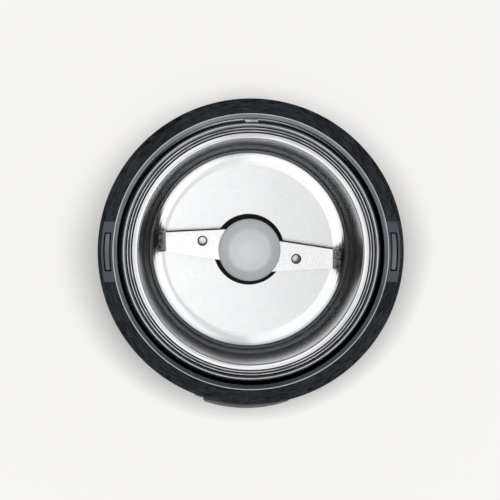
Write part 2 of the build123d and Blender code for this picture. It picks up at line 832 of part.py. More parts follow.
with BuildPart() as rotor_core:
    with BuildSketch(Plane.XY.offset(z_stack)):
        Circle(rotor_radius)
        Circle(shaft_radius + snug, mode=Mode.SUBTRACT)
        with PolarLocations(rotor_radius - rotor_slot_depth / 2, rotor_slots):
            Rectangle(rotor_slot_depth, rotor_slot_width, mode=Mode.SUBTRACT)
    extrude(amount=stack_height)
rotor_core.part.label = "rotor_core"
export_step(rotor_core.part, "parts/rotor_core.step")

with BuildPart() as armature_windings:
    for z_winding in (z_stack - winding_height, z_stack_top):
        with BuildSketch(Plane.XY.offset(z_winding)):
            Circle(winding_radius)
            Circle(winding_inner, mode=Mode.SUBTRACT)
        extrude(amount=winding_height)
    fillet(armature_windings.edges().group_by(Axis.Z)[0], radius=winding_round)
    fillet(armature_windings.edges().group_by(Axis.Z)[-1], radius=winding_round)
armature_windings.part.label = "armature_windings"
export_step(armature_windings.part, "parts/armature_windings.step")

z_commutator = z_stack_top + winding_height + snug
z_upper_bearing = z_upper_bracket - bearing_sink
with BuildPart() as commutator:
    with BuildSketch(Plane.XY.offset(z_commutator)):
        Circle(commutator_radius)
        Circle(shaft_radius + snug, mode=Mode.SUBTRACT)
        with PolarLocations(commutator_radius, commutator_bars):
            Rectangle(2 * commutator_groove_depth, commutator_groove, mode=Mode.SUBTRACT)
    extrude(amount=z_upper_bearing - commutator_gap - z_commutator)
commutator.part.label = "commutator"
export_step(commutator.part, "parts/commutator.step")

with BuildPart() as cooling_fan:
    with BuildSketch(Plane.XY.offset(z_fan_top)):
        Circle(fan_radius)
    extrude(amount=-fan_plate)
    with BuildSketch(Plane.XY.offset(z_fan)):
        Circle(fan_hub_radius)
        with PolarLocations((fan_hub_radius + fan_radius) / 2 - fan_blade_root, fan_blades):
            Rectangle(fan_radius - fan_hub_radius, fan_blade_thickness)
    extrude(amount=fan_height - fan_plate)
    with BuildSketch(Plane.XY.offset(z_fan)):
        Circle(shaft_radius + snug)
    extrude(amount=fan_height, mode=Mode.SUBTRACT)
cooling_fan.part.label = "cooling_fan"
export_step(cooling_fan.part, "parts/cooling_fan.step")

# ================================================================ motor: stator, coils, brackets, bearings
with BuildPart() as stator_stack:
    with BuildSketch(Plane.XY.offset(z_stack)):
        RectangleRounded(stator_width, stator_depth, stator_corner)
        Circle(rotor_radius + air_gap, mode=Mode.SUBTRACT)
        with GridLocations(2 * coil_inner_x + coil_thickness, 2 * pole_half + coil_width + 2 * coil_gap, 2, 2):
            Rectangle(coil_thickness + 2 * coil_gap, coil_width + 2 * coil_gap, mode=Mode.SUBTRACT)
        with GridLocations(2 * tie_x, 2 * tie_y, 2, 2):
            Circle(screw_radius + snug, mode=Mode.SUBTRACT)
    extrude(amount=stack_height)
stator_stack.part.label = "stator_stack"
export_step(stator_stack.part, "parts/stator_stack.step")

with BuildPart() as field_coils:
    for side in (1, -1):
        with BuildSketch(Plane.YZ.offset(side * (coil_inner_x + coil_thickness / 2))):
            with Locations((0, z_stack + stack_height / 2)):
                RectangleRounded(
                    2 * (pole_half + coil_gap + coil_width), stack_height + 2 * (coil_gap + coil_width), coil_width
                )
                Rectangle(2 * (pole_half + coil_gap), stack_height + 2 * coil_gap, mode=Mode.SUBTRACT)
        extrude(amount=coil_thickness / 2, both=True)
field_coils.part.label = "field_coils"
export_step(field_coils.part, "parts/field_coils.step")

with BuildPart() as upper_bracket:
    with BuildSketch(Plane.XY.offset(z_upper_bracket)):
        RectangleRounded(stator_width, stator_depth, stator_corner)
        with GridLocations(2 * grommet_place, 2 * grommet_place, 2, 2):
            Circle(ear_radius)
        with GridLocations(grommet_place + tie_x, grommet_place + tie_y, 2, 2):
            Rectangle(2 * ear_radius, 2 * ear_radius)
        with GridLocations(2 * window_x, 2 * window_y, 2, 2):
            RectangleRounded(window_width, window_depth, window_round, mode=Mode.SUBTRACT)
    extrude(amount=bracket_thickness)
    with BuildSketch(Plane.XY.offset(z_stack_top)):
        with GridLocations(2 * tie_x, 2 * tie_y, 2, 2):
            Circle(tie_post_radius)
    extrude(amount=upper_post)
    with BuildSketch(Plane.XY.offset(z_upper_bearing)):
        Circle(hub_radius)
    extrude(amount=z_upper_bearing_top - z_upper_bearing)
    with BuildSketch(Plane.XY.offset(z_upper_bearing)):
        Circle(bearing_radius + snug)
    extrude(amount=z_upper_bearing_top - z_upper_bearing, mode=Mode.SUBTRACT)
    with BuildSketch(Plane.XY.offset(z_stack_top)):
        with GridLocations(2 * tie_x, 2 * tie_y, 2, 2):
            Circle(screw_radius + snug)
        with GridLocations(2 * grommet_place, 2 * grommet_place, 2, 2):
            Circle(screw_radius + snug)
    extrude(amount=upper_post + bracket_thickness, mode=Mode.SUBTRACT)
upper_bracket.part.label = "upper_motor_bracket"
export_step(upper_bracket.part, "parts/upper_motor_bracket.step")

z_lower_bearing = z_lower_bracket - bearing_drop
with BuildPart() as lower_bracket:
    with BuildSketch(Plane.XY.offset(z_lower_bracket)):
        RectangleRounded(stator_width, stator_depth, stator_corner)
        with GridLocations(2 * window_x, 2 * window_y, 2, 2):
            RectangleRounded(window_width, window_depth, window_round, mode=Mode.SUBTRACT)
    extrude(amount=bracket_thickness)
    with BuildSketch(Plane.XY.offset(z_lower_bracket)):
        with GridLocations(2 * tie_x, 2 * tie_y, 2, 2):
            Circle(tie_post_radius)
    extrude(amount=bracket_thickness + lower_post)
    with BuildSketch(Plane.XY.offset(z_lower_bearing)):
        Circle(hub_radius)
    extrude(amount=bearing_length)
    with BuildSketch(Plane.XY.offset(z_lower_bearing)):
        Circle(bearing_radius + snug)
    extrude(amount=bearing_length, mode=Mode.SUBTRACT)
    with BuildSketch(Plane.XY.offset(z_lower_bracket)):
        with GridLocations(2 * tie_x, 2 * tie_y, 2, 2):
            Circle(screw_radius + snug)
    extrude(amount=bracket_thickness + lower_post, mode=Mode.SUBTRACT)
lower_bracket.part.label = "lower_motor_bracket"
export_step(lower_bracket.part, "parts/lower_motor_bracket.step")

for name, z_bearing, length in (
    ("upper_bearing", z_upper_bearing, z_upper_bearing_top - z_upper_bearing),
    ("lower_bearing", z_lower_bearing, bearing_length),
):
    with BuildPart() as bearing:
        with BuildSketch(Plane.XY.offset(z_bearing)):
            Circle(bearing_radius)
            Circle(shaft_radius + running, mode=Mode.SUBTRACT)
        extrude(amount=length)
    bearing.part.label = name
    export_step(bearing.part, f"parts/{name}.step")

# ================================================================ motor: brushes
z_brush = z_upper_bracket - holder_wall - snug - brush_height / 2
with BuildPart() as brush_holders:
    for side in (1, -1):
        holder_start = commutator_radius + holder_gap
        front = Plane(origin=(0, side * holder_start, z_brush), x_dir=(1, 0, 0), z_dir=(0, side, 0))
        with BuildSketch(front):
            Rectangle(brush_width + 2 * (holder_wall + snug), brush_height + 2 * (holder_wall + snug))
        extrude(amount=holder_reach - holder_start)
        with BuildSketch(front):
            Rectangle(brush_width + 2 * snug, brush_height + 2 * snug)
        extrude(amount=holder_reach - holder_start - holder_wall, mode=Mode.SUBTRACT)
brush_holders.part.label = "brush_holders"
export_step(brush_holders.part, "parts/brush_holders.step")

with BuildPart() as carbon_brushes:
    for side in (1, -1):
        brush_face = Plane(
            origin=(0, side * (commutator_radius + play), z_brush), x_dir=(1, 0, 0), z_dir=(0, side, 0)
        )
        with BuildSketch(brush_face):
            Rectangle(brush_width, brush_height)
        extrude(amount=brush_length)
carbon_brushes.part.label = "carbon_brushes"
export_step(carbon_brushes.part, "parts/carbon_brushes.step")

brush_rear = commutator_radius + play + brush_length
brush_springs = Compound(
    children=[
        coil(
            (0, side * brush_rear, z_brush),
            (0, side, 0),
            holder_reach - holder_wall - brush_rear,
            brush_spring_radius,
            brush_spring_wire,
            4,
        )
        for side in (1, -1)
    ]
)
brush_springs.label = "brush_springs"
export_step(brush_springs, "parts/brush_springs.step")

# ================================================================ motor: screws and rubber mounts
tie_places = [(x, y) for x in (tie_x, -tie_x) for y in (tie_y, -tie_y)]
motor_screws = Compound(
    children=[
        screw(
            place,
            z_bracket_top + screw_head_height,
            z_bracket_top - z_lower_bracket,
            screw_radius,
            screw_head_radius,
            True,
        )
        for place in tie_places
    ]
)
motor_screws.label = "motor_screws"
export_step(motor_screws, "parts/motor_screws.step")

with BuildPart() as rubber_mounts:
    with BuildSketch(Plane.XY.offset(z_bracket_top)):
        with GridLocations(2 * grommet_place, 2 * grommet_place, 2, 2):
            Circle(grommet_radius)
            Circle(screw_radius + snug, mode=Mode.SUBTRACT)
    extrude(amount=grommet_height)
rubber_mounts.part.label = "rubber_mounts"
export_step(rubber_mounts.part, "parts/rubber_mounts.step")

mount_screw_length = bracket_thickness + grommet_height + deck_boss_height - screw_spare
mount_screws = Compound(
    children=[
        screw((x, y), z_upper_bracket - screw_head_height, mount_screw_length, screw_radius, screw_head_radius, False)
        for x in (grommet_place, -grommet_place)
        for y in (grommet_place, -grommet_place)
    ]
)
mount_screws.label = "motor_mount_screws"
export_step(mount_screws, "parts/motor_mount_screws.step")

# ================================================================ push button, bezel and spring
with BuildPart() as bezel_dome:
    with Locations((0, dome_centre + bezel_drop, button_middle)):
        Sphere(button_dome)

bezel_inner = (button_width + 2 * play, button_height + 2 * play)
with BuildPart() as button_bezel:
    with BuildSketch(Plane.XZ.offset(-bezel_rear)):
        with Locations((0, button_middle)):
            RectangleRounded(
                bezel_inner[0] + 2 * bezel_width, bezel_inner[1] + 2 * bezel_width, button_corner + bezel_width + play
            )
            RectangleRounded(*bezel_inner, button_corner + play, mode=Mode.SUBTRACT)
    extrude(amount=button_dome / 2)
    add(bezel_dome.part, mode=Mode.INTERSECT)
    fillet(button_bezel.faces().sort_by(Axis.Y)[0].outer_wire().edges(), radius=bezel_edge)
button_bezel.part.label = "button_bezel"
export_step(button_bezel.part, "parts/button_bezel.step")

with BuildPart() as button_dome_body:
    with Locations((0, dome_centre, button_middle)):
        Sphere(button_dome)

with BuildPart() as front_button:
    with BuildSketch(Plane.XZ.offset(-button_rear)):
        with Locations((0, button_middle)):
            RectangleRounded(button_width, button_height, button_corner)
    extrude(amount=button_dome / 2)
    add(button_dome_body.part, mode=Mode.INTERSECT)
    fillet(front_button.faces().sort_by(Axis.Y)[0].outer_wire().edges(), radius=button_edge)
    with BuildSketch(Plane.XZ.offset(-button_rear)):
        with Locations((0, button_middle)):
            RectangleRounded(
                button_width + 2 * button_flange, button_height + 2 * button_flange, button_corner + button_flange
            )
    extrude(amount=button_flange_thickness)
    with BuildSketch(Plane.XZ.offset(-button_rear)):
        with Locations((0, button_middle)):
            RectangleRounded(
                button_width - 2 * button_wall, button_height - 2 * button_wall, button_corner - button_wall
            )
            Circle(button_stem_radius, mode=Mode.SUBTRACT)
    extrude(amount=button_rear - button_pocket, mode=Mode.SUBTRACT)
front_button.part.label = "front_button"
export_step(front_button.part, "parts/front_button.step")

button_spring = coil(
    (0, button_pocket, button_middle),
    (0, 1, 0),
    switch_front - button_pocket,
    button_spring_radius,
    button_spring_wire,
    6,
)
button_spring.label = "button_spring"
export_step(button_spring, "parts/button_spring.step")

# ================================================================ main switch, its pin and bracket
pin_bore_depth = main_pin_inside + button_travel + play
with BuildPart() as main_switch:
    with BuildSketch(Plane.XY.offset(z_switch)):
        with Locations((0, switch_front + main_switch_depth / 2)):
            RectangleRounded(main_switch_width, main_switch_depth, switch_round)
    extrude(amount=main_switch_height)
    with BuildSketch(Plane.XZ.offset(-switch_front - pin_bore_depth)):
        with Locations((0, button_middle)):
            Circle(main_pin_radius + running)
    extrude(amount=pin_bore_depth, mode=Mode.SUBTRACT)
main_switch.part.label = "main_switch"
export_step(main_switch.part, "parts/main_switch.step")

with BuildPart() as switch_pin:
    with BuildSketch(Plane.XZ.offset(-button_rear)):
        with Locations((0, button_middle)):
            Circle(main_pin_radius)
    extrude(amount=-(switch_front + main_pin_inside - button_rear))
switch_pin.part.label = "main_switch_pin"
export_step(switch_pin.part, "parts/main_switch_pin.step")

bracket_middle = switch_front + main_switch_depth / 2
bracket_width = main_switch_width + 2 * shelf_overhang
bracket_depth = main_switch_depth - 2 * bracket_inset
bracket_screw_x = bracket_width / 2 + bracket_screw_out
with BuildPart() as switch_bracket:
    with BuildSketch(Plane.XY.offset(z_switch)):
        with Locations((0, bracket_middle)):
            Rectangle(bracket_width, main_switch_depth)
    extrude(amount=-bracket_sheet)
    with BuildSketch(Plane.XY.offset(z_inside)):
        with GridLocations(bracket_width - bracket_sheet, 0, 2, 1):
            with Locations((0, bracket_middle)):
                Rectangle(bracket_sheet, bracket_depth)
    extrude(amount=z_switch - z_inside)
    with BuildSketch(Plane.XY.offset(z_inside)):
        with Locations((0, bracket_middle)):
            Rectangle(bracket_width + 2 * bracket_foot, bracket_depth)
    extrude(amount=bracket_sheet)
    with BuildSketch(Plane.XY.offset(z_inside)):
        with GridLocations(2 * bracket_screw_x, 0, 2, 1):
            with Locations((0, bracket_middle)):
                Circle(rim_screw_radius + snug)
    extrude(amount=bracket_sheet, mode=Mode.SUBTRACT)
switch_bracket.part.label = "switch_bracket"
export_step(switch_bracket.part, "parts/switch_bracket.step")

bracket_screws = Compound(
    children=[
        screw(
            (x, bracket_middle),
            z_inside + bracket_sheet + screw_head_height,
            bracket_sheet + cover_thickness - foot_groove - snug,
            rim_screw_radius,
            rim_head_radius,
            True,
        )
        for x in (bracket_screw_x, -bracket_screw_x)
    ]
)
bracket_screws.label = "bracket_screws"
export_step(bracket_screws, "parts/bracket_screws.step")

# ================================================================ base cover, foot ring and screws
cover_radius = base_radius - housing_wall - cover_gap
taper_share = (base_radius - shoulder_radius) / (z_flange - z_cover)
with BuildPart() as base_cover:
    with BuildSketch(Plane.XY.offset(z_cover)):
        Circle(cover_radius - taper_share * cover_thickness)
    extrude(amount=cover_thickness)
    with BuildSketch(Plane.XY.offset(z_cover)):
        Circle(foot_radius + snug)
        Circle(foot_radius - foot_width - snug, mode=Mode.SUBTRACT)
    extrude(amount=foot_groove, mode=Mode.SUBTRACT)
    with BuildSketch(Plane.XY.offset(z_cover)):
        with PolarLocations(vent_radius, vent_count):
            SlotOverall(vent_length, vent_width)
        with Locations(*[polar(base_boss_place, angle) for angle in base_boss_angles]):
            Circle(screw_radius + snug)
        with Locations((bracket_screw_x, bracket_middle), (-bracket_screw_x, bracket_middle)):
            Circle(rim_screw_radius + snug)
    extrude(amount=cover_thickness, mode=Mode.SUBTRACT)
    with BuildSketch(Plane.XY.offset(z_cover)):
        with Locations(*[polar(base_boss_place, angle) for angle in base_boss_angles]):
            Circle(screw_head_radius + snug)
    extrude(amount=screw_head_height, mode=Mode.SUBTRACT)
    with BuildSketch(Plane.XY.offset(z_inside)):
        with GridLocations(board_width - rib_length, 0, 2, 1):
            with Locations(
                (0, board_place - snug - rib_thickness / 2),
                (0, board_place + board_thickness + snug + rib_thickness / 2),
            ):
                Rectangle(rib_length, rib_thickness)
    extrude(amount=rib_height)
base_cover.part.label = "base_cover"
export_step(base_cover.part, "parts/base_cover.step")

with BuildPart() as foot_ring:
    with BuildSketch(Plane.XY):
        Circle(foot_radius)
        Circle(foot_radius - foot_width, mode=Mode.SUBTRACT)
    extrude(amount=z_cover + foot_groove - snug)
    chamfer(foot_ring.edges().group_by(Axis.Z)[0], length=foot_edge)
foot_ring.part.label = "foot_ring"
export_step(foot_ring.part, "parts/foot_ring.step")

base_screws = Compound(
    children=[
        screw(
            polar(base_boss_place, angle), z_cover, base_screw_length - screw_spare, screw_radius, screw_head_radius, False
        )
        for angle in base_boss_angles
    ]
)
base_screws.label = "base_screws"
export_step(base_screws, "parts/base_screws.step")

rim_screw_start = z_flange - rim_boss_height - screw_head_height
rim_screws = Compound(
    children=[
        screw(
            polar(rim_boss_place, angle),
            rim_screw_start,
            rim_boss_height + flange_thickness + rim_screw_length - screw_spare,
            rim_screw_radius,
            rim_head_radius,
            False,
        )
        for angle in rim_boss_angles
    ]
)
rim_screws.label = "rim_screws"
export_step(rim_screws, "parts/rim_screws.step")

# ================================================================ control board, capacitor and cord inlet
with BuildPart() as control_board:
    with BuildSketch(Plane.XZ.offset(-board_place - board_thickness)):
        with Locations((0, z_inside + board_height / 2)):
            Rectangle(board_width, board_height)
    extrude(amount=board_thickness)
control_board.part.label = "control_board"
export_step(control_board.part, "parts/control_board.step")

with BuildPart() as capacitor:
    with BuildSketch(Plane.XZ.offset(-board_place - board_thickness - capacitor_depth)):
        with Locations((0, z_inside + capacitor_rise + capacitor_height / 2)):
            RectangleRounded(capacitor_width, capacitor_height, switch_round)
    extrude(amount=capacitor_depth)
capacitor.part.label = "interference_capacitor"
export_step(capacitor.part, "parts/interference_capacitor.step")

inlet_face = housing_radius(inlet_height - inlet_flange_radius) + snug
inlet_rear = inlet_face - inlet_inside
with BuildPart() as cord_inlet:
    with BuildSketch(Plane.XY.offset(inlet_height)):
        Polygon(
            (inlet_bore, inlet_rear),
            (inlet_radius, inlet_rear),
            (inlet_radius, inlet_face),
            (inlet_flange_radius, inlet_face),
            (inlet_flange_radius, inlet_face + inlet_flange),
            (inlet_mouth, inlet_face + inlet_flange),
            (inlet_bore, inlet_rear + inlet_throat),
            align=None,
        )
    revolve(axis=Axis((0, 0, inlet_height), (0, 1, 0)))
    fillet(cord_inlet.edges().group_by(Axis.Y)[-1], radius=inlet_edge)
cord_inlet.part.label = "cord_inlet"
export_step(cord_inlet.part, "parts/cord_inlet.step")
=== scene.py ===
"""Looks of the electric spice grinder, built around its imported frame. Metres, +Z up, front -Y."""

import bpy
import bmesh
import json
from math import cos, pi, radians, sin, sqrt, tan
from mathutils import Matrix, Vector


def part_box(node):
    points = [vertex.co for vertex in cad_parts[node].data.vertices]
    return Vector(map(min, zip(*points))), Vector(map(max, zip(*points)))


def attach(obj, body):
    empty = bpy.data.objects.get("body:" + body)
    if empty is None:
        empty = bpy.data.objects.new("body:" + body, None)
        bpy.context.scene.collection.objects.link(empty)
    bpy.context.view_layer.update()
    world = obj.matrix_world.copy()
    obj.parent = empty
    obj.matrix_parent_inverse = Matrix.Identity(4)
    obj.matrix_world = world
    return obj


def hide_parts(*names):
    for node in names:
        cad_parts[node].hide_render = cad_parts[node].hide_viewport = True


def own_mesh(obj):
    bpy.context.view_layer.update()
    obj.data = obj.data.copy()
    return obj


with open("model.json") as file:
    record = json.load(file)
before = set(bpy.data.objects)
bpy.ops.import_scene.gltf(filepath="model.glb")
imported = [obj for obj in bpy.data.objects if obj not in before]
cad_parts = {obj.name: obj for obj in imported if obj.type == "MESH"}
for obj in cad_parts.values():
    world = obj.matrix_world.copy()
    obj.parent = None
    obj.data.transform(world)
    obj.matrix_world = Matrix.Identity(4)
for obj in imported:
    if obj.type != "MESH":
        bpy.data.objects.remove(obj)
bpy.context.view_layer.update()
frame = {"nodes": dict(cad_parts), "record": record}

MM = 0.001
TURN = 256               # segments of a turned piece
SMALL_TURN = 96          # and of a small one
ARC = 10                 # segments of a rounded corner
SUPPORT = 0.25 * MM      # from the end of a straight run to the edge loop beside it
HAIR = 0.1 * MM          # radii of edges, from barely broken to plainly rounded
FINE = 0.2 * MM
SOFT = 0.3 * MM
ROUND = 0.4 * MM
UP = (0, 0, 1)
INWARDS = (0, 1, 0)      # from the front to the back

# ---------------------------------------------------------------- sizes, some from the frame, some given
rim_low, rim_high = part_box("rim_ring")
liner_low, liner_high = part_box("rim_liner")
bowl_low, bowl_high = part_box("steel_bowl")
carrier_low, carrier_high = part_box("bowl_carrier")
chamber_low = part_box("bowl_chamber")[0]
trim_low, trim_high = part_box("collar_trim")
shell_low, shell_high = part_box("housing_shell")
gasket_low, gasket_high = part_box("bowl_gasket")
blade_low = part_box("blade")[0]
cap_low, cap_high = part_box("blade_cap")
spacer_low, spacer_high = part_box("blade_spacer")
button_low, button_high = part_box("front_button")
bezel_low, bezel_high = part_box("button_bezel")
key_low, key_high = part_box("lid_key")
foot_low, foot_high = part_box("foot_ring")
inlet_low, inlet_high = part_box("cord_inlet")

rim_radius = 52.0 * MM
rim_top = rim_high.z
rim_inner = 47.0 * MM
throat_radius = 45.4 * MM        # outer wall of the channel for the lid
chamber_outer = 43.9 * MM
chamber_inner = 42.5 * MM
carrier_outer = 42.2 * MM
carrier_ring_inner = 40.7 * MM
lip_outer = 40.3 * MM
bowl_inner = 38.3 * MM
bowl_sheet = 0.8 * MM
bowl_floor = bowl_low.z + bowl_sheet
bowl_lip = bowl_high.z
channel_floor = 129.0 * MM
shaft_bore = 3.05 * MM           # of the pieces on the blade's shaft


# ---------------------------------------------------------------- mesh helpers
def link(name, data):
    """Object for a mesh or a camera, in the scene's collection."""
    piece = bpy.data.objects.new(name, data)
    bpy.context.scene.collection.objects.link(piece)
    return piece


def finish_mesh(name, bm, sharp=35):
    """Object from a bmesh, shaded smooth with edges sharper than the given angle kept."""
    bmesh.ops.recalc_face_normals(bm, faces=bm.faces)
    mesh = bpy.data.meshes.new(name)
    bm.to_mesh(mesh)
    bm.free()
    mesh.polygons.foreach_set("use_smooth", [True] * len(mesh.polygons))
    mesh.set_sharp_from_angle(angle=radians(sharp))
    return link(name, mesh)


def rounded(corners):
    """Closed outline through the corners, given as (x, y, radius), each rounded by its radius.

    A radius that doesn't fit takes just under half of the shorter side."""
    outline = []
    for index, (x, y, radius) in enumerate(corners):
        here = Vector((x, y))
        if radius == 0:
            outline.append(here)
            continue
        before = Vector(corners[index - 1][:2]) - here
        after = Vector(corners[(index + 1) % len(corners)][:2]) - here
        opening = before.angle(after)
        reach = min(radius / tan(opening / 2), before.length * 0.49, after.length * 0.49)
        true_radius = reach * tan(opening / 2)
        inwards = (before.normalized() + after.normalized()).normalized()
        middle = here + inwards * (true_radius / sin(opening / 2))
        start = here + before.normalized() * reach - middle
        end = here + after.normalized() * reach - middle
        sweep = start.angle_signed(end)
        for step in range(ARC + 1):
            angle = -sweep * step / ARC
            turned_x = start.x * cos(angle) - start.y * sin(angle)
            turned_y = start.x * sin(angle) + start.y * cos(angle)
            outline.append(middle + Vector((turned_x, turned_y)))
    return outline


def supported(outline):
    """Closed outline with a point near each end of its long straight runs, so that flats shade flat."""
    points = []
    for here, after in zip(outline, outline[1:] + outline[:1]):
        points.append(here)
        length = (after - here).length
        if length > 4 * SUPPORT:
            points.append(here.lerp(after, SUPPORT / length))
            points.append(after.lerp(here, SUPPORT / length))
    return points


def circle(segments):
    """Points (x, y) around a circle of radius 1."""
    return [(cos(2 * pi * step / segments), sin(2 * pi * step / segments)) for step in range(segments)]


def lathe(name, corners, sharp=35, segments=TURN):
    """Closed solid turned about the Z axis from an outline of (radius, height, corner radius)."""
    bm = bmesh.new()
    rings = []
    for point in supported(rounded(corners)):
        if point.x < 1e-7:       # on the axis
            rings.append([bm.verts.new((0, 0, point.y))])
            continue
        rings.append([bm.verts.new((point.x * x, point.x * y, point.y)) for x, y in circle(segments)])
    for first, second in zip(rings, rings[1:] + rings[:1]):
        bridge(bm, first, second)
    return finish_mesh(name, bm, sharp)


def bridge(bm, first, second):
    """Faces between two rings of vertices; a ring of one vertex makes a fan."""
    if len(first) == 1 and len(second) == 1:
        return
    for step in range(max(len(first), len(second))):
        corners = [
            first[step % len(first)],
            first[(step + 1) % len(first)],
            second[(step + 1) % len(second)],
            second[step % len(second)],
        ]
        bm.faces.new(list(dict.fromkeys(corners)))


def loft(name, loops, sharp=35):
    """Solid through closed loops of 3-D points, all of the same count, with flat ends."""
    bm = bmesh.new()
    rings = [[bm.verts.new(point) for point in loop] for loop in loops]
    for first, second in zip(rings, rings[1:]):
        bridge(bm, first, second)
    bm.faces.new(rings[0])
    bm.faces.new(rings[-1])
    return finish_mesh(name, bm, sharp)


def frame_around(name, loops, sharp=35):
    """Closed solid through loops of 3-D points, of which the last joins the first."""
    bm = bmesh.new()
    rings = [[bm.verts.new(point) for point in loop] for loop in loops]
    for first, second in zip(rings, rings[1:] + rings[:1]):
        bridge(bm, first, second)
    return finish_mesh(name, bm, sharp)


def rounded_rectangle(width, height, corner, per_side=8):
    """Loop of (u, v) around a rounded rectangle, evenly split along its straight sides."""
    quarters = ((1, -1), (1, 1), (-1, 1), (-1, -1))
    outline = rounded([(u * width / 2, v * height / 2, corner) for u, v in quarters])
    loop = []
    for first, second in zip(outline, outline[1:] + outline[:1]):
        steps = per_side if (second - first).length > corner else 1
        loop.extend(first.lerp(second, step / steps) for step in range(steps))
    return loop


def cut(piece, cutter):
    """Takes the cutter's solid out of the piece and deletes the cutter."""
    modifier = piece.modifiers.new("cut", "BOOLEAN")
    modifier.operation = "DIFFERENCE"
    modifier.solver = "EXACT"
    modifier.object = cutter
    apply_modifiers(piece)
    bpy.data.objects.remove(cutter)


def apply_modifiers(piece, sharp=35):
    """Bakes the piece's modifiers into its mesh and keeps its shading."""
    evaluated = piece.evaluated_get(bpy.context.evaluated_depsgraph_get())
    mesh = bpy.data.meshes.new_from_object(evaluated)
    piece.modifiers.clear()
    piece.data = mesh
    mesh.polygons.foreach_set("use_smooth", [True] * len(mesh.polygons))
    mesh.set_sharp_from_angle(angle=radians(sharp))


def bevel(piece, width, segments=3, angle=40):
    """Rounds the piece's sharp edges."""
    modifier = piece.modifiers.new("bevel", "BEVEL")
    modifier.width = width
    modifier.segments = segments
    modifier.limit_method = "ANGLE"
    modifier.angle_limit = radians(angle)
    apply_modifiers(piece)


def sector_prism(name, inner, outer, length, low, high, side, steps=24):
    """Solid of a ring's stretch about the X axis with parallel ends, between two heights."""
    def arc(radius):
        half = length / 2
        return [
            (side * sqrt(radius * radius - y * y), y)
            for y in (half * (2 * step / steps - 1) for step in range(steps + 1))
        ]

    outline = arc(outer) + arc(inner)[::-1]
    return loft(name, [[(x, y, z) for x, y in outline] for z in (low, high)])


def cylinder(name, centre, axis, radius, length, segments=48):
    """Plain round solid from a centre along an axis, for stems and for cutting holes."""
    turn = Vector(UP).rotation_difference(Vector(axis))
    loops = [
        [Vector(centre) + turn @ Vector((radius * x, radius * y, reach)) for x, y in circle(segments)]
        for reach in (0, length)
    ]
    return loft(name, loops)


# ---------------------------------------------------------------- node helpers
class Nodes:
    """The nodes of a material or a world; a value fed to them is a socket, a number or a colour."""

    def __init__(self, tree):
        self.nodes = tree.nodes
        self.links = tree.links

    def feed(self, socket, value):
        """Links a socket, or sets a number, a vector or a colour."""
        if isinstance(value, bpy.types.NodeSocket):
            self.links.new(value, socket)
        elif socket.type == "RGBA":
            socket.default_value = (*value, 1)
        else:
            socket.default_value = value

    def math(self, operation, *values):
        """Result of a Math node."""
        node = self.nodes.new("ShaderNodeMath")
        node.operation = operation
        for socket, value in zip(node.inputs, values):
            self.feed(socket, value)
        return node.outputs[0]

    def split(self, vector):
        """X, Y and Z of a vector."""
        node = self.nodes.new("ShaderNodeSeparateXYZ")
        self.links.new(vector, node.inputs[0])
        return node.outputs

    def join(self, *values):
        """Vector of three values."""
        node = self.nodes.new("ShaderNodeCombineXYZ")
        for socket, value in zip(node.inputs, values):
            self.feed(socket, value)
        return node.outputs[0]

    def spread(self, value, low, high, start=0.3, end=0.7, smooth=False):
        """Maps a value between start and end to the range from low to high."""
        node = self.nodes.new("ShaderNodeMapRange")
        if smooth:
            node.interpolation_type = "SMOOTHSTEP"
        node.inputs["From Min"].default_value = start
        node.inputs["From Max"].default_value = end
        node.inputs["To Min"].default_value = low
        node.inputs["To Max"].default_value = high
        self.links.new(value, node.inputs["Value"])
        return node.outputs["Result"]

    def mix(self, share, first, second):
        """Colour that goes from the first to the second with a share from 0 to 1."""
        node = self.nodes.new("ShaderNodeMix")
        node.data_type = "RGBA"
        self.links.new(share, node.inputs["Factor"])
        self.feed(node.inputs["A"], first)
        self.feed(node.inputs["B"], second)
        return node.outputs["Result"]


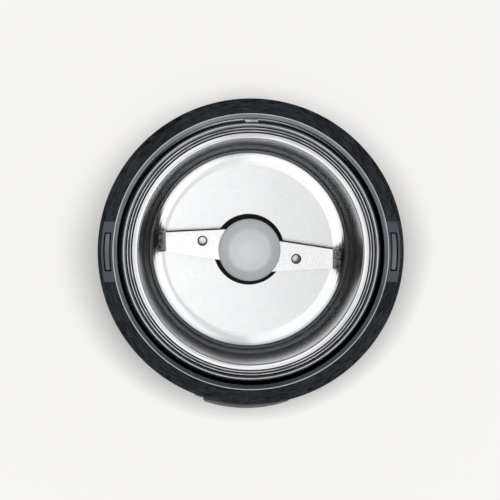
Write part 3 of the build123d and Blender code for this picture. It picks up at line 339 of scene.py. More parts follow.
class Surface(Nodes):
    """A Principled material whose detail is made of nodes in the object's own coordinates."""

    def __init__(self, name, color, roughness, metallic=0.0, specular=0.5):
        self.material = bpy.data.materials.new(name)
        self.material.use_nodes = True
        super().__init__(self.material.node_tree)
        self.shader = self.nodes["Principled BSDF"]
        self.feed(self.shader.inputs["Base Color"], color)
        self.shader.inputs["Roughness"].default_value = roughness
        self.shader.inputs["Metallic"].default_value = metallic
        self.shader.inputs["Specular IOR Level"].default_value = specular
        self.place = self.nodes.new("ShaderNodeTexCoord").outputs["Object"]

    def height(self):
        """Z of the object's coordinates."""
        return self.split(self.place)[2]

    def radius(self):
        """Distance from the Z axis."""
        x, y = self.split(self.place)[:2]
        squares = self.math("ADD", self.math("MULTIPLY", x, x), self.math("MULTIPLY", y, y))
        return self.math("SQRT", squares)

    def band(self, middle, half_width):
        """Mask that is 1 at a radius about the Z axis and falls to 0 at half_width from it."""
        away = self.math("ABSOLUTE", self.math("SUBTRACT", self.radius(), middle))
        return self.math("MAXIMUM", self.math("SUBTRACT", 1.0, self.math("DIVIDE", away, half_width)), 0.0)

    def polar(self, ring_scale, turn_scale, height_scale):
        """Coordinates that run with the radius and the height together, and with the turn about Z."""
        x, y, z = self.split(self.place)
        length = self.math("MAXIMUM", self.radius(), 1e-6)
        rings = self.math("MULTIPLY", length, ring_scale)
        return self.join(
            self.math("ADD", rings, self.math("MULTIPLY", z, height_scale)),
            self.math("MULTIPLY", self.math("DIVIDE", x, length), turn_scale),
            self.math("MULTIPLY", self.math("DIVIDE", y, length), turn_scale),
        )

    def stretched(self, x_scale, y_scale, z_scale):
        """The object's coordinates, scaled differently along each axis."""
        node = self.nodes.new("ShaderNodeMapping")
        node.inputs["Scale"].default_value = (x_scale, y_scale, z_scale)
        self.links.new(self.place, node.inputs["Vector"])
        return node.outputs[0]

    def noise(self, vector, scale, detail=4.0, rough=0.55):
        """Cloudy value, mostly between 0.3 and 0.7."""
        node = self.nodes.new("ShaderNodeTexNoise")
        node.inputs["Scale"].default_value = scale
        node.inputs["Detail"].default_value = detail
        node.inputs["Roughness"].default_value = rough
        self.links.new(vector, node.inputs["Vector"])
        return node.outputs["Fac"]

    def wave(self, direction, scale, distortion):
        """Value that rises and falls along a direction."""
        node = self.nodes.new("ShaderNodeTexWave")
        node.bands_direction = direction
        node.inputs["Scale"].default_value = scale
        node.inputs["Distortion"].default_value = distortion
        self.links.new(self.place, node.inputs["Vector"])
        return node.outputs["Fac"]

    def tint(self, share, first, second):
        """Base colour that goes from the first to the second with a share from 0 to 1."""
        color = self.mix(share, first, second)
        self.links.new(color, self.shader.inputs["Base Color"])
        return color

    def rough(self, value):
        """Roughness from a value."""
        self.links.new(value, self.shader.inputs["Roughness"])

    def bump(self, value, strength, distance):
        """Fine relief from a value."""
        node = self.nodes.new("ShaderNodeBump")
        node.inputs["Strength"].default_value = strength
        node.inputs["Distance"].default_value = distance
        self.links.new(value, node.inputs["Height"])
        self.links.new(node.outputs["Normal"], self.shader.inputs["Normal"])


# ---------------------------------------------------------------- kinds of surface
def moulded(name, dark, light, roughness, specular=0.3, grain=2600, depth=0.03 * MM):
    """Moulded plastic or rubber: fine grain, faint clouds in colour and gloss."""
    surface = Surface(name, dark, roughness, specular=specular)
    clouds = surface.noise(surface.place, 45, 5)
    fine = surface.noise(surface.place, grain, 3, 0.6)
    surface.tint(surface.spread(clouds, 0, 1), dark, light)
    surface.rough(surface.spread(fine, roughness - 0.06, roughness + 0.08))
    surface.bump(fine, 0.35, depth)
    return surface.material


def turned_plastic(name, dark, light, roughness, specular, side_top):
    """Black plastic with fine streaks that run around the axis, and are faint below the given height."""
    surface = Surface(name, dark, roughness, specular=specular)
    streaks = surface.noise(surface.polar(2600, 14, 2600), 1.0, 6, 0.7)
    clouds = surface.noise(surface.place, 60, 4)
    mixed = surface.math("ADD", surface.math("MULTIPLY", streaks, 0.8), surface.math("MULTIPLY", clouds, 0.2))
    strength = surface.spread(surface.height(), 0.35, 1.0, side_top - 1.5 * MM, side_top)
    share = surface.math("MULTIPLY", surface.spread(mixed, 0, 1, 0.4, 0.62), strength)
    surface.tint(share, dark, light)
    surface.rough(surface.spread(streaks, roughness - 0.1, roughness + 0.15))
    surface.bump(streaks, 0.5, 0.04 * MM)
    return surface.material


def ring_with_painted_highlights(name, dark, light, edges, half_width, highlight_color, top):
    """Dark ring with turned streaks; its edges, at the given radii and height, carry a painted highlight in
    patchy bands of bright metal.
    """
    surface = Surface(name, dark, 0.3, specular=0.3)
    streaks = surface.noise(surface.polar(2600, 14, 900), 1.0, 6, 0.7)
    patches = surface.noise(surface.polar(400, 5, 400), 1.0, 4, 0.6)
    color = surface.mix(surface.spread(streaks, 0, 1), dark, light)
    edge_bands = surface.math("ADD", *(surface.band(radius, half_width) for radius in edges))
    at_top = surface.spread(surface.height(), 0, 1, top - 0.5 * MM, top - 0.3 * MM)
    # painted highlight: near-white metallic bands at the top of the edges, broken into patches
    edge_highlight = surface.math("MULTIPLY", edge_bands, at_top)
    patchy_highlight = surface.math("MULTIPLY", edge_highlight, surface.spread(patches, 0.35, 1.0))
    surface.tint(patchy_highlight, color, highlight_color)
    surface.links.new(patchy_highlight, surface.shader.inputs["Metallic"])
    surface.rough(surface.spread(streaks, 0.25, 0.45))
    surface.bump(streaks, 0.4, 0.02 * MM)
    return surface.material


def scratched(surface, dark, light):
    """Tints a turned surface with the longer scratches of use."""
    worn = surface.noise(surface.polar(900, 9, 900), 1.0, 6, 0.75)
    clouds = surface.noise(surface.place, 30, 3)
    return surface.tint(surface.spread(surface.math("MULTIPLY", worn, clouds), 0, 1, 0.12, 0.34), dark, light)


def turned_metal(name, dark, light, roughness, rings=5000, depth=0.004 * MM, spread=0.05, metallic=1.0):
    """Metal with fine rings around the axis and a few longer scratches."""
    surface = Surface(name, light, roughness, metallic=metallic)
    fine = surface.noise(surface.polar(rings, 3, rings), 1.0, 5, 0.7)
    scratched(surface, dark, light)
    surface.rough(surface.spread(fine, roughness - spread, roughness + spread))
    surface.bump(fine, 0.25, depth)
    return surface.material


def bowl_metal(name, dark, light, roughness, lip_inner, lip_line):
    """Turned metal whose lip, outside the given radius, has darker lines around it."""
    surface = Surface(name, light, roughness, metallic=1.0)
    fine = surface.noise(surface.polar(5000, 3, 5000), 1.0, 5, 0.7)
    lines = surface.noise(surface.polar(1900, 1.5, 1900), 1.0, 3, 0.5)
    color = scratched(surface, dark, light)
    on_lip = surface.spread(surface.radius(), 0, 1, lip_inner, lip_inner + 0.3 * MM)
    lined = surface.math("MULTIPLY", on_lip, surface.spread(lines, 0, 1, 0.44, 0.6))
    surface.tint(lined, color, lip_line)
    surface.rough(surface.spread(fine, roughness - 0.05, roughness + 0.05))
    surface.bump(fine, 0.25, 0.004 * MM)
    return surface.material


def drawn_metal(name, dark, light, roughness, along=(4000, 300, 4000), depth=0.006 * MM):
    """Metal with straight brushed grain and faint stains."""
    surface = Surface(name, light, roughness, metallic=1.0)
    grain = surface.noise(surface.stretched(*along), 1.0, 5, 0.7)
    stains = surface.noise(surface.place, 220, 5, 0.6)
    surface.tint(surface.spread(stains, 0, 1, 0.35, 0.62), dark, light)
    surface.rough(surface.spread(grain, roughness - 0.05, roughness + 0.1))
    surface.bump(grain, 0.3, depth)
    return surface.material


def cut_plate(name, dark, light, roughness, face, painted_shade):
    """Finely speckled steel plate with its top at the height face; its cut edges and raised tips are dark
    with painted shade.
    """
    surface = Surface(name, light, roughness, metallic=1.0)
    speckle = surface.noise(surface.place, 2400, 3, 0.6)
    streaks = surface.noise(surface.stretched(900, 900, 250), 1.0, 4, 0.65)
    plate = surface.mix(surface.spread(speckle, 0, 1, 0.4, 0.6), dark, light)
    # painted shade: the bent-up tips, and everything below the top face (the hole's bore and the cut edges
    # included), take the dark tones
    raised = surface.spread(surface.height(), 0, 1, face + 0.25 * MM, face + 0.5 * MM)
    below = surface.spread(surface.height(), 1, 0, face - 0.16 * MM, face - 0.04 * MM)
    shade = surface.mix(surface.spread(streaks, 0, 1, 0.4, 0.62), *painted_shade)
    surface.tint(surface.math("MAXIMUM", raised, below), plate, shade)
    surface.rough(surface.spread(speckle, roughness - 0.05, roughness + 0.1))
    surface.bump(speckle, 0.25, 0.006 * MM)
    return surface.material


def wound_wire(name, dark, light):
    """Enamelled wire in many close turns."""
    surface = Surface(name, light, 0.3, metallic=0.8)
    turns = surface.wave("DIAGONAL", 700, 1.5)
    surface.tint(turns, dark, light)
    surface.bump(turns, 0.8, 0.1 * MM)
    return surface.material


def stacked_sheet(name, dark, light):
    """Edges of laminations stacked along Z."""
    surface = Surface(name, light, 0.45, metallic=0.9)
    sheets = surface.wave("Z", 320, 0.3)
    surface.tint(sheets, dark, light)
    surface.bump(sheets, 0.6, 0.08 * MM)
    return surface.material


# ---------------------------------------------------------------- materials, one per slot of the record
side_top = rim_top - 1.5 * MM                 # the rim's streaks are faint below it
carrier_edges = (41.0 * MM, 41.95 * MM)       # radii of the carrier's edges, where its highlight is painted
edge_half_width = 0.28 * MM
lip_start = 38.7 * MM                         # radius where the lines of the bowl's lip start
blade_face = blade_low.z + 1.6 * MM
# near-white colour of the carrier's painted edge highlights
painted_highlight = (0.95, 0.95, 0.96)
lip_line = (0.5, 0.505, 0.515)
# painted shade for the blade: dark tones for the shadow on its cut edges and hole, and for the dark bowl wall
# reflected in its bent tips
painted_shade = ((0.01, 0.011, 0.012), (0.12, 0.125, 0.13))
finishes = {
    "black_housing": (moulded, (0.007, 0.0075, 0.008), (0.013, 0.014, 0.015), 0.45, 0.2),
    "black_rim": (turned_plastic, (0.003, 0.0036, 0.0042), (0.03, 0.034, 0.039), 0.5, 0.05, side_top),
    "black_button": (moulded, (0.005, 0.0055, 0.006), (0.01, 0.011, 0.012), 0.42, 0.15),
    "black_inner": (moulded, (0.006, 0.0065, 0.008), (0.012, 0.013, 0.015), 0.38, 0.3),
    "black_rubber": (moulded, (0.006, 0.006, 0.006), (0.014, 0.014, 0.014), 0.75, 0.15, 1500),
    # carrier: dark streaked ring with painted highlights on its edges
    "grey_carrier": (
        ring_with_painted_highlights,
        (0.012, 0.013, 0.015),
        (0.04, 0.042, 0.046),
        carrier_edges,
        edge_half_width,
        painted_highlight,
        carrier_high.z,
    ),
    "polished_steel": (turned_metal, (0.28, 0.29, 0.305), (0.42, 0.43, 0.45), 0.16, 3000, 0.002 * MM, 0.03),
    "bowl_steel": (bowl_metal, (0.69, 0.695, 0.7), (0.74, 0.743, 0.746), 0.16, lip_start, lip_line),
    "blade_steel": (cut_plate, (0.7, 0.7, 0.705), (0.8, 0.8, 0.8), 0.2, blade_face, painted_shade),
    "satin_cap": (turned_metal, (0.49, 0.51, 0.525), (0.54, 0.56, 0.575), 0.45, 1200, 0.002 * MM, 0.04, 0.3),
    "shaft_steel": (turned_metal, (0.5, 0.5, 0.52), (0.62, 0.62, 0.64), 0.25),
    "spring_steel": (drawn_metal, (0.35, 0.35, 0.36), (0.5, 0.5, 0.52), 0.3),
    "screw_steel": (drawn_metal, (0.45, 0.46, 0.47), (0.6, 0.61, 0.62), 0.32),
    "bracket_metal": (drawn_metal, (0.45, 0.46, 0.47), (0.6, 0.61, 0.62), 0.45, (900, 900, 900)),
    "lamination_steel": (stacked_sheet, (0.16, 0.16, 0.17), (0.42, 0.43, 0.45)),
    "bronze": (turned_metal, (0.45, 0.3, 0.16), (0.6, 0.42, 0.24), 0.4),
    "brass": (drawn_metal, (0.6, 0.45, 0.2), (0.78, 0.6, 0.3), 0.3),
    "copper": (wound_wire, (0.3, 0.12, 0.05), (0.75, 0.36, 0.18)),
    "carbon": (moulded, (0.02, 0.02, 0.02), (0.04, 0.04, 0.04), 0.6, 0.3),
    "insert_grey": (moulded, (0.042, 0.046, 0.056), (0.065, 0.07, 0.082), 0.45, 0.2),
    "plunger_grey": (moulded, (0.03, 0.033, 0.038), (0.13, 0.135, 0.145), 0.4, 0.4, 1300, 0.15 * MM),
    "switch_body": (moulded, (0.015, 0.015, 0.015), (0.03, 0.03, 0.03), 0.5),
    "switch_pin": (moulded, (0.45, 0.04, 0.03), (0.6, 0.07, 0.05), 0.4),
    "board_green": (moulded, (0.02, 0.12, 0.05), (0.05, 0.2, 0.09), 0.4, 0.4, 900),
    "capacitor_film": (moulded, (0.6, 0.48, 0.08), (0.75, 0.62, 0.12), 0.3, 0.5, 900),
}
materials = {name: kind(name, *settings) for name, (kind, *settings) in finishes.items()}
slot_of = {part["node"]: part["material_slot"] for part in frame["record"]["subparts"]}
for node, cad_object in frame["nodes"].items():
    for material_slot in cad_object.material_slots:
        material_slot.material = materials[slot_of[node]]


def carry(piece, body, slot):
    """Puts a piece on its body, with the finish of a slot."""
    piece.data.materials.clear()
    piece.data.materials.append(materials[slot])
    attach(piece, body)


def dress(piece, body, node):
    """Puts a piece on its body in place of a CAD node, with that node's finish."""
    carry(piece, body, slot_of[node])
    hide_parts(node)


# ---------------------------------------------------------------- rim with its pockets
skirt_inner = 50.7 * MM
rim_bottom = rim_low.z
rim_round = 1.4 * MM     # of the outer edge
rim_slope = 1.1 * MM     # that the outer edge lies lower by
rim_step = 0.1 * MM      # height and width of the step beside the flat top
flat_outer = rim_radius - 1.6 * MM
rim = lathe(
    "rim",
    [
        (throat_radius, channel_floor, 0),
        (skirt_inner, channel_floor, 0),
        (skirt_inner, rim_bottom, 0),
        (rim_radius, rim_bottom, FINE),
        (rim_radius, rim_top - rim_slope, rim_round),
        (flat_outer + rim_step, rim_top - rim_step, FINE),
        (flat_outer, rim_top, HAIR),
        (rim_inner, rim_top, SOFT),
        (rim_inner, liner_low.z, 0),
        (throat_radius, liner_low.z, 0),
    ],
)
insert_width = 3.8 * MM
insert_length = 20.8 * MM
pocket_depth = 13.6 * MM
spill = 1.0 * MM         # that a cutter stands out by
for side in (1, -1):
    pocket = sector_prism(
        "pocket",
        rim_inner - 0.02 * MM,
        rim_inner + insert_width,
        insert_length,
        rim_top - pocket_depth,
        rim_top + spill,
        side,
    )
    cut(rim, pocket)
dress(rim, "root", "rim_ring")

liner_outer = liner_high.x
liner_edge = 0.3 * MM    # flat top beside the rim
liner_slope = 1.0 * MM   # that falls towards the channel
liner = lathe(
    "liner",
    [
        (throat_radius, liner_low.z, 0),
        (liner_outer, liner_low.z, 0),
        (liner_outer, liner_high.z, HAIR),
        (liner_outer - liner_edge, liner_high.z, 0.25 * MM),
        (throat_radius, liner_high.z - liner_slope, 0.15 * MM),
    ],
    sharp=50,
)
dress(liner, "root", "rim_liner")

# ---------------------------------------------------------------- inserts and plungers
slot_inner = 47.6 * MM
slot_outer = 50.0 * MM
slot_length = 13.2 * MM
slot_gap = 0.35 * MM     # around the plunger
plunger_depth = 10 * MM  # of its wide part
stem_radius = 0.8 * MM
stem_lap = 0.1 * MM      # of the stem inside that part
insert_top = rim_top - 0.25 * MM
insert_depth = 9 * MM
insert_gap = 0.07 * MM   # to the pocket's walls
for side, side_name in ((1, "right"), (-1, "left")):
    insert = sector_prism(
        f"{side_name}_insert",
        rim_inner + insert_gap,
        rim_inner + insert_width - insert_gap,
        insert_length - 2 * insert_gap,
        insert_top - insert_depth,
        insert_top,
        side,
    )
    slot_low = insert_top - insert_depth - spill
    slot = sector_prism("slot", slot_inner, slot_outer, slot_length, slot_low, insert_top + spill, side)
    bevel(slot, 0.6 * MM)
    cut(insert, slot)
    bevel(insert, 0.12 * MM)
    dress(insert, "root", f"{side_name}_slot_insert")

    plunger_low, plunger_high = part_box(f"{side_name}_interlock_plunger")
    plunger = sector_prism(
        f"{side_name}_plunger",
        slot_inner + slot_gap,
        slot_outer - slot_gap,
        slot_length - 2 * slot_gap,
        plunger_high.z - plunger_depth,
        plunger_high.z,
        side,
    )
    bevel(plunger, 0.35 * MM)
    stem = cylinder(
        f"{side_name}_stem",
        (side * (slot_inner + slot_outer) / 2, 0, plunger_low.z),
        UP,
        stem_radius,
        plunger_high.z - plunger_depth + stem_lap - plunger_low.z,
    )
    dress(plunger, f"{side_name}_plunger", f"{side_name}_interlock_plunger")
    carry(stem, f"{side_name}_plunger", "plunger_grey")


def pressed_spring(name, node):
    """A copy of the coil of a CAD node, on the root body, in place of the node."""
    coil = link(name, frame["nodes"][node].data.copy())
    dress(coil, "root", node)
    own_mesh(coil)


for side_name in ("left", "right"):
    spring = f"{side_name}_plunger_spring"
    pressed_spring(f"{side_name}_plunger_coil", spring)
pressed_spring("button_coil", "button_spring")

# ---------------------------------------------------------------- chamber and collar
deck_bottom = chamber_low.z + 7 * MM
deck_top = 98.5 * MM
deck_hole = 12.0 * MM
drip_width = 2.0 * MM    # of the raised edge around the deck's hole
drip_height = 3.0 * MM
flange_radius = 50.4 * MM
flange_thickness = 3.0 * MM
chamber_top = trim_low.z
chamber = lathe(
    "chamber",
    [
        (deck_hole, deck_bottom, 0),
        (chamber_outer, deck_bottom, 0),
        (chamber_outer, channel_floor - flange_thickness, 0),
        (flange_radius, channel_floor - flange_thickness, 0),
        (flange_radius, channel_floor, 0),
        (chamber_outer, channel_floor, 0.6 * MM),
        (chamber_outer, chamber_top, 0),
        (chamber_inner, chamber_top, 0),
        (chamber_inner, deck_top, 1.0 * MM),
        (deck_hole + drip_width, deck_top, 0.5 * MM),
        (deck_hole + drip_width, deck_top + drip_height, ROUND),
        (deck_hole, deck_top + drip_height, ROUND),
    ],
)
dress(chamber, "root", "bowl_chamber")

collar_slant = 0.65 * MM # that its edges lie lower by than its middle
collar = lathe(
    "collar",
    [
        (chamber_inner, trim_low.z, 0),
        (chamber_outer, trim_low.z, 0),
        (chamber_outer, trim_high.z - collar_slant, HAIR),
        ((chamber_inner + chamber_outer) / 2, trim_high.z, ROUND),
        (chamber_inner, trim_high.z - collar_slant, HAIR),
    ],
)
dress(collar, "root", "collar_trim")

# ---------------------------------------------------------------- bowl with its rolled lip
bowl_bore = 5.6 * MM
lip_roll = 2.0 * MM
floor_fillet = 7.3 * MM
wall_lean = 1.2 * MM     # from the foot of the wall out to the lip
bowl = lathe(
    "bowl",
    [
        (bowl_bore, bowl_floor, HAIR),
        (bowl_inner - wall_lean, bowl_floor, floor_fillet),
        (bowl_inner, bowl_lip, lip_roll),
        (lip_outer, bowl_lip, 0.22 * MM),
        (lip_outer, bowl_lip - bowl_sheet, 0.35 * MM),
        (bowl_inner + bowl_sheet, bowl_lip - bowl_sheet, lip_roll - bowl_sheet),
        (bowl_inner + bowl_sheet - wall_lean, bowl_low.z, floor_fillet + bowl_sheet),
        (bowl_bore, bowl_low.z, HAIR),
    ],
    sharp=60,
)
dress(bowl, "bowl", "steel_bowl")

ring_top = carrier_high.z
ring_foot = ring_top - 7 * MM        # of the wider ring at the carrier's top
jacket_step = 1.0 * MM               # slope below that ring
groove = 0.3 * MM                    # half the width of the ring's groove
groove_floor = ring_top - 0.6 * MM
groove_middle = (carrier_ring_inner + carrier_outer) / 2
jacket_inner = 39.15 * MM
jacket_outer = 41.15 * MM
ledge = bowl_lip - 2.3 * MM          # below the bowl's lip
bowl_seat = bowl_low.z - 0.01 * MM
plate_bottom = 103.7 * MM            # of the carrier under the bowl
boss_bore = 5.55 * MM
boss_radius = 9.0 * MM
boss_bottom = carrier_low.z + 0.4 * MM
foot_rib_inner = jacket_inner - 4 * MM
foot_rib_outer = jacket_inner - 1 * MM
carrier = lathe(
    "carrier",
    [
        (boss_bore, boss_bottom, 0),
        (boss_radius, boss_bottom, SOFT),
        (boss_radius, plate_bottom, 0.5 * MM),
        (foot_rib_inner, plate_bottom, SOFT),
        (foot_rib_inner, carrier_low.z, SOFT),
        (foot_rib_outer, carrier_low.z, SOFT),
        (jacket_outer, plate_bottom, 1.0 * MM),
        (jacket_outer, ring_foot - jacket_step, SOFT),
        (carrier_outer, ring_foot, SOFT),
        (carrier_outer, ring_top, 0.25 * MM),
        (groove_middle + groove, ring_top, 0.15 * MM),
        (groove_middle + groove, groove_floor, 0),
        (groove_middle - groove, groove_floor, 0),
        (groove_middle - groove, ring_top, 0.15 * MM),
        (carrier_ring_inner, ring_top, FINE),
        (carrier_ring_inner, ledge, 0),
        (jacket_inner, ledge, 0),
        (jacket_inner, bowl_seat, 0),
        (boss_bore, bowl_seat, 0),
    ],
)
dress(carrier, "bowl", "bowl_carrier")

gasket_radius = 12.6 * MM
gasket_bore = 3.3 * MM
gasket_groove_outer = 10.2 * MM
gasket_groove_inner = 8.3 * MM
gasket_groove_slope = 0.3 * MM
gasket_groove_depth = 0.5 * MM
gasket = lathe(
    "gasket",
    [
        (gasket_bore, gasket_low.z, 0),
        (gasket_radius, gasket_low.z, HAIR),
        (gasket_radius, gasket_high.z, 0.9 * MM),
        (gasket_groove_outer, gasket_high.z, HAIR),
        (gasket_groove_outer - gasket_groove_slope, gasket_high.z - gasket_groove_depth, HAIR),
        (gasket_groove_inner + gasket_groove_slope, gasket_high.z - gasket_groove_depth, HAIR),
        (gasket_groove_inner, gasket_high.z, HAIR),
        (gasket_bore, gasket_high.z, FINE),
    ],
)
dress(gasket, "bowl", "bowl_gasket")

# ---------------------------------------------------------------- blade, spacer and cap
spacer_radius = 6.5 * MM
spacer = lathe(
    "spacer",
    [
        (shaft_bore, spacer_low.z, HAIR),
        (spacer_radius, spacer_low.z, ROUND),
        (spacer_radius, spacer_high.z, ROUND),
        (shaft_bore, spacer_high.z, HAIR),
    ],
    segments=SMALL_TURN,
)
dress(spacer, "blade_rotor", "blade_spacer")

cap_radius = 10.9 * MM
cap_shoulder = (7.4 * MM, cap_low.z + 4.9 * MM)      # radius and height
cap_crown = (3.4 * MM, cap_high.z - 0.15 * MM)
cap_side = 2.2 * MM
cap_bore_depth = 4.0 * MM
cap = lathe(
    "cap",
    [
        (shaft_bore, cap_low.z, 0),
        (cap_radius, cap_low.z, SOFT),
        (cap_radius, cap_low.z + cap_side, 1.6 * MM),
        (*cap_shoulder, 6.0 * MM),
        (*cap_crown, 8.0 * MM),
        (0.0, cap_high.z, 0),
        (0.0, cap_low.z + cap_bore_depth, 0),
        (shaft_bore, cap_low.z + cap_bore_depth, 0),
    ],
    sharp=50,
)
dress(cap, "blade_rotor", "blade_cap")

blade_thickness = 1.6 * MM
root_front = Vector((0.0, 5.0)) * MM     # corners of the right arm, seen from above
root_back = Vector((0.0, -8.0)) * MM
neck_front = Vector((10.5, 3.5)) * MM
neck_back = Vector((9.0, -7.6)) * MM
tip_front = Vector((29.95, 0.5)) * MM
tip_back = Vector((29.95, -6.6)) * MM
bend_radius = 0.6 * MM
bend_steps = 6
bend_start = 0.45        # of the bend's outer radius, that it starts inside the tip
tab_height = 6.0 * MM
tab_shorter = 0.2 * MM   # for its slanting end
tab_angle = radians(78)
grind = 0.5 * MM         # width of the ground edge
edge_left = 1.15 * MM    # thickness left at that edge
hole_middle = Vector((16.5, -3.2)) * MM
hole_radius = 1.35 * MM
countersink = 0.45 * MM  # around the top of the hole


def outward_from(front, back):
    """Direction across the line between two edge points, away from the axis."""
    across = (back - front).normalized()
    outward = Vector((-across.y, across.x))
    return outward if outward.x > 0 else -outward


def section(front, back, ground, lift=0.0, slope=0.0):
    """Cross-section of the blade between two edge points, tipped up by a slope and lifted.

    The front or the back edge is ground."""
    outward = outward_from(front, back)
    normal = Vector((-outward.x * sin(slope), -outward.y * sin(slope), cos(slope)))
    lower_front = Vector((*front, blade_low.z + lift))
    lower_back = Vector((*back, blade_low.z + lift))
    step_in = (lower_back - lower_front).normalized() * grind
    upper_front = lower_front + normal * blade_thickness
    upper_back = lower_back + normal * blade_thickness
    if ground == "front":
        return [lower_front, lower_back, upper_back, upper_front + step_in, lower_front + normal * edge_left]
    return [lower_front, lower_back, lower_back + normal * edge_left, upper_back - step_in, upper_front]


def countersunk_hole(place):
    """Cutter for the hole of an arm, wider at its top."""
    surface = blade_low.z + blade_thickness
    levels = [
        (hole_radius, blade_low.z - spill),
        (hole_radius, surface - countersink),
        (hole_radius + countersink, surface),
        (hole_radius + countersink, surface + spill),
    ]
    loops = [[(place.x + radius * x, place.y + radius * y, z) for x, y in circle(64)] for radius, z in levels]
    return loft("hole", loops)


def blade_arm(name, turn, ground):
    """One arm of the blade from the axis to its bent-up tip; turn is 1 or -1 for the opposite arm."""
    loops = [section(root_front, root_back, ground)]
    for share in (0, 0.25, 0.5, 0.75, 0.97):
        loops.append(section(neck_front.lerp(tip_front, share), neck_back.lerp(tip_back, share), ground))
    outward = outward_from(tip_front, tip_back)
    outer = bend_radius + blade_thickness
    for step in range(1, bend_steps + 1):
        slope = tab_angle * step / bend_steps
        reach = outward * outer * (sin(slope) - bend_start)
        loops.append(section(tip_front + reach, tip_back + reach, ground, outer * (1 - cos(slope)), slope))
    bend_height = outer * (1 - cos(tab_angle))
    straight = (tab_height - bend_height) / sin(tab_angle) - tab_shorter
    reach = outward * (outer * (sin(tab_angle) - bend_start) + straight * cos(tab_angle))
    top = bend_height + straight * sin(tab_angle)
    loops.append(section(tip_front + reach, tip_back + reach, ground, top, tab_angle))
    loops = [[(turn * x, turn * y, z) for x, y, z in loop] for loop in loops]
    arm = loft(name, loops, sharp=25)
    cut(arm, countersunk_hole(hole_middle * turn))
    bevel(arm, 0.12 * MM, 2, 50)
    return arm


hub_radius = 8.2 * MM
blade_hub = lathe(
    "blade_hub",
    [
        (shaft_bore, blade_low.z, 0),
        (hub_radius, blade_low.z, HAIR),
        (hub_radius, blade_low.z + blade_thickness, HAIR),
        (shaft_bore, blade_low.z + blade_thickness, 0),
    ],
    segments=SMALL_TURN,
)
dress(blade_arm("blade_arm_right", 1, "front"), "blade_rotor", "blade")
carry(blade_arm("blade_arm_left", -1, "back"), "blade_rotor", "blade_steel")
carry(blade_hub, "blade_rotor", "blade_steel")

# ---------------------------------------------------------------- lid key
key_slant = 0.9 * MM     # of its left end
lid_key = loft(
    "key",
    [
        [
            (key_low.x + slant, key_low.y, z),
            (key_high.x, key_low.y, z),
            (key_high.x, key_high.y, z),
            (key_low.x, key_high.y, z),
        ]
        for z, slant in ((key_low.z, 0.0), (key_high.z, key_slant))
    ],
)
bevel(lid_key, 0.15 * MM)
dress(lid_key, "root", "lid_key")

# ---------------------------------------------------------------- ramp in the channel, around the lid key
ramp_inner = 44.0 * MM
ramp_outer = 45.35 * MM
ramp_narrow = 1.25 * MM  # less wide at its ends than at the key
ramp_low = 3.0 * MM      # its height at its ends
ramp_rise = 6.0 * MM     # and what it gains towards the key
ramp_fall = 0.25 * MM    # of its top, from the outer side to the inner side
ramp_crown = 0.04 * MM   # of that, as far as the middle
ramp_half_turn = radians(78)
ramp_steps = 64
ramp_loops = []
for step in range(ramp_steps + 1):
    share = 2 * step / ramp_steps - 1
    turn = ramp_half_turn * share
    top = channel_floor + ramp_low + ramp_rise * cos(pi / 2 * share) ** 2
    inner = ramp_inner + ramp_narrow * abs(share) ** 1.2
    middle = (inner + ramp_outer) / 2
    corners = [
        (inner, channel_floor),
        (ramp_outer, channel_floor),
        (ramp_outer, top),
        (middle, top - ramp_crown),
        (inner, top - ramp_fall),
    ]
    ramp_loops.append([(radius * sin(turn), radius * cos(turn), z) for radius, z in corners])
carry(loft("ramp", ramp_loops), "root", "polished_steel")

# ---------------------------------------------------------------- housing shell
wall = 2.4 * MM
base_radius = 54.42 * MM
shoulder_radius = 51.4 * MM
shell_bottom = shell_low.z
shell_top = shell_high.z
shell = lathe(
    "shell",
    [
        (base_radius, shell_bottom, 2.0 * MM),
        (shoulder_radius, shell_top, 0.15 * MM),
        (shoulder_radius - wall, shell_top, 0),
        (base_radius - wall, shell_bottom, SOFT),
    ],
)
button_middle = (bezel_low.z + bezel_high.z) / 2
bezel_width = bezel_high.x - bezel_low.x
bezel_height = bezel_high.z - bezel_low.z
bezel_corner = 10.2 * MM


def front_loop(width, height, corner, depth_at):
    """Rounded-rectangle loop about the button's middle; depth_at gives its Y from u and v."""
    return [
        (point.x, depth_at(point.x, point.y), button_middle + point.y)
        for point in rounded_rectangle(width, height, corner)
    ]


def flat(y):
    """Constant Y for a loop."""
    return lambda u, v: y


opening_gap = 0.1 * MM
opening_size = (bezel_width + opening_gap, bezel_height + opening_gap, bezel_corner)
opening_reach = (-70 * MM, -42 * MM)     # Y of the cutter, through the shell's wall
cut(shell, loft("opening", [front_loop(*opening_size, flat(y)) for y in opening_reach]))
inlet_height = (inlet_low.z + inlet_high.z) / 2
inlet_hole = 8.05 * MM
hole_start = 45 * MM
cut(shell, cylinder("hole", (0, hole_start, inlet_height), INWARDS, inlet_hole, 20 * MM))
dress(shell, "root", "housing_shell")

# ---------------------------------------------------------------- push button and bezel
dome_radius = 50.0 * MM
button_dome_centre = button_low.y + dome_radius
bezel_dome_centre = button_dome_centre + 1.0 * MM
button_width = 33.0 * MM
button_height = 33.0 * MM
button_corner = 6.7 * MM
button_skirt = 1.5 * MM  # that its side ends before its back
play = 0.3 * MM          # between the button and the bezel
edge_round = 1.0 * MM
edge_steps = 5


def dome(centre, drop=0.0):
    """Y of the domed face at (u, v), set back by a drop."""
    return lambda u, v: centre - sqrt(dome_radius**2 - u * u - v * v) + drop


def rounded_edge(width, height, corner, centre, first_step):
    """Loops down the rounded outer edge of a domed face."""
    loops = []
    for step in range(first_step, edge_steps + 1):
        angle = pi / 2 * step / edge_steps
        inset = edge_round * (1 - sin(angle))
        drop = edge_round * (1 - cos(angle))
        loops.append(front_loop(width - 2 * inset, height - 2 * inset, corner - inset, dome(centre, drop)))
    return loops


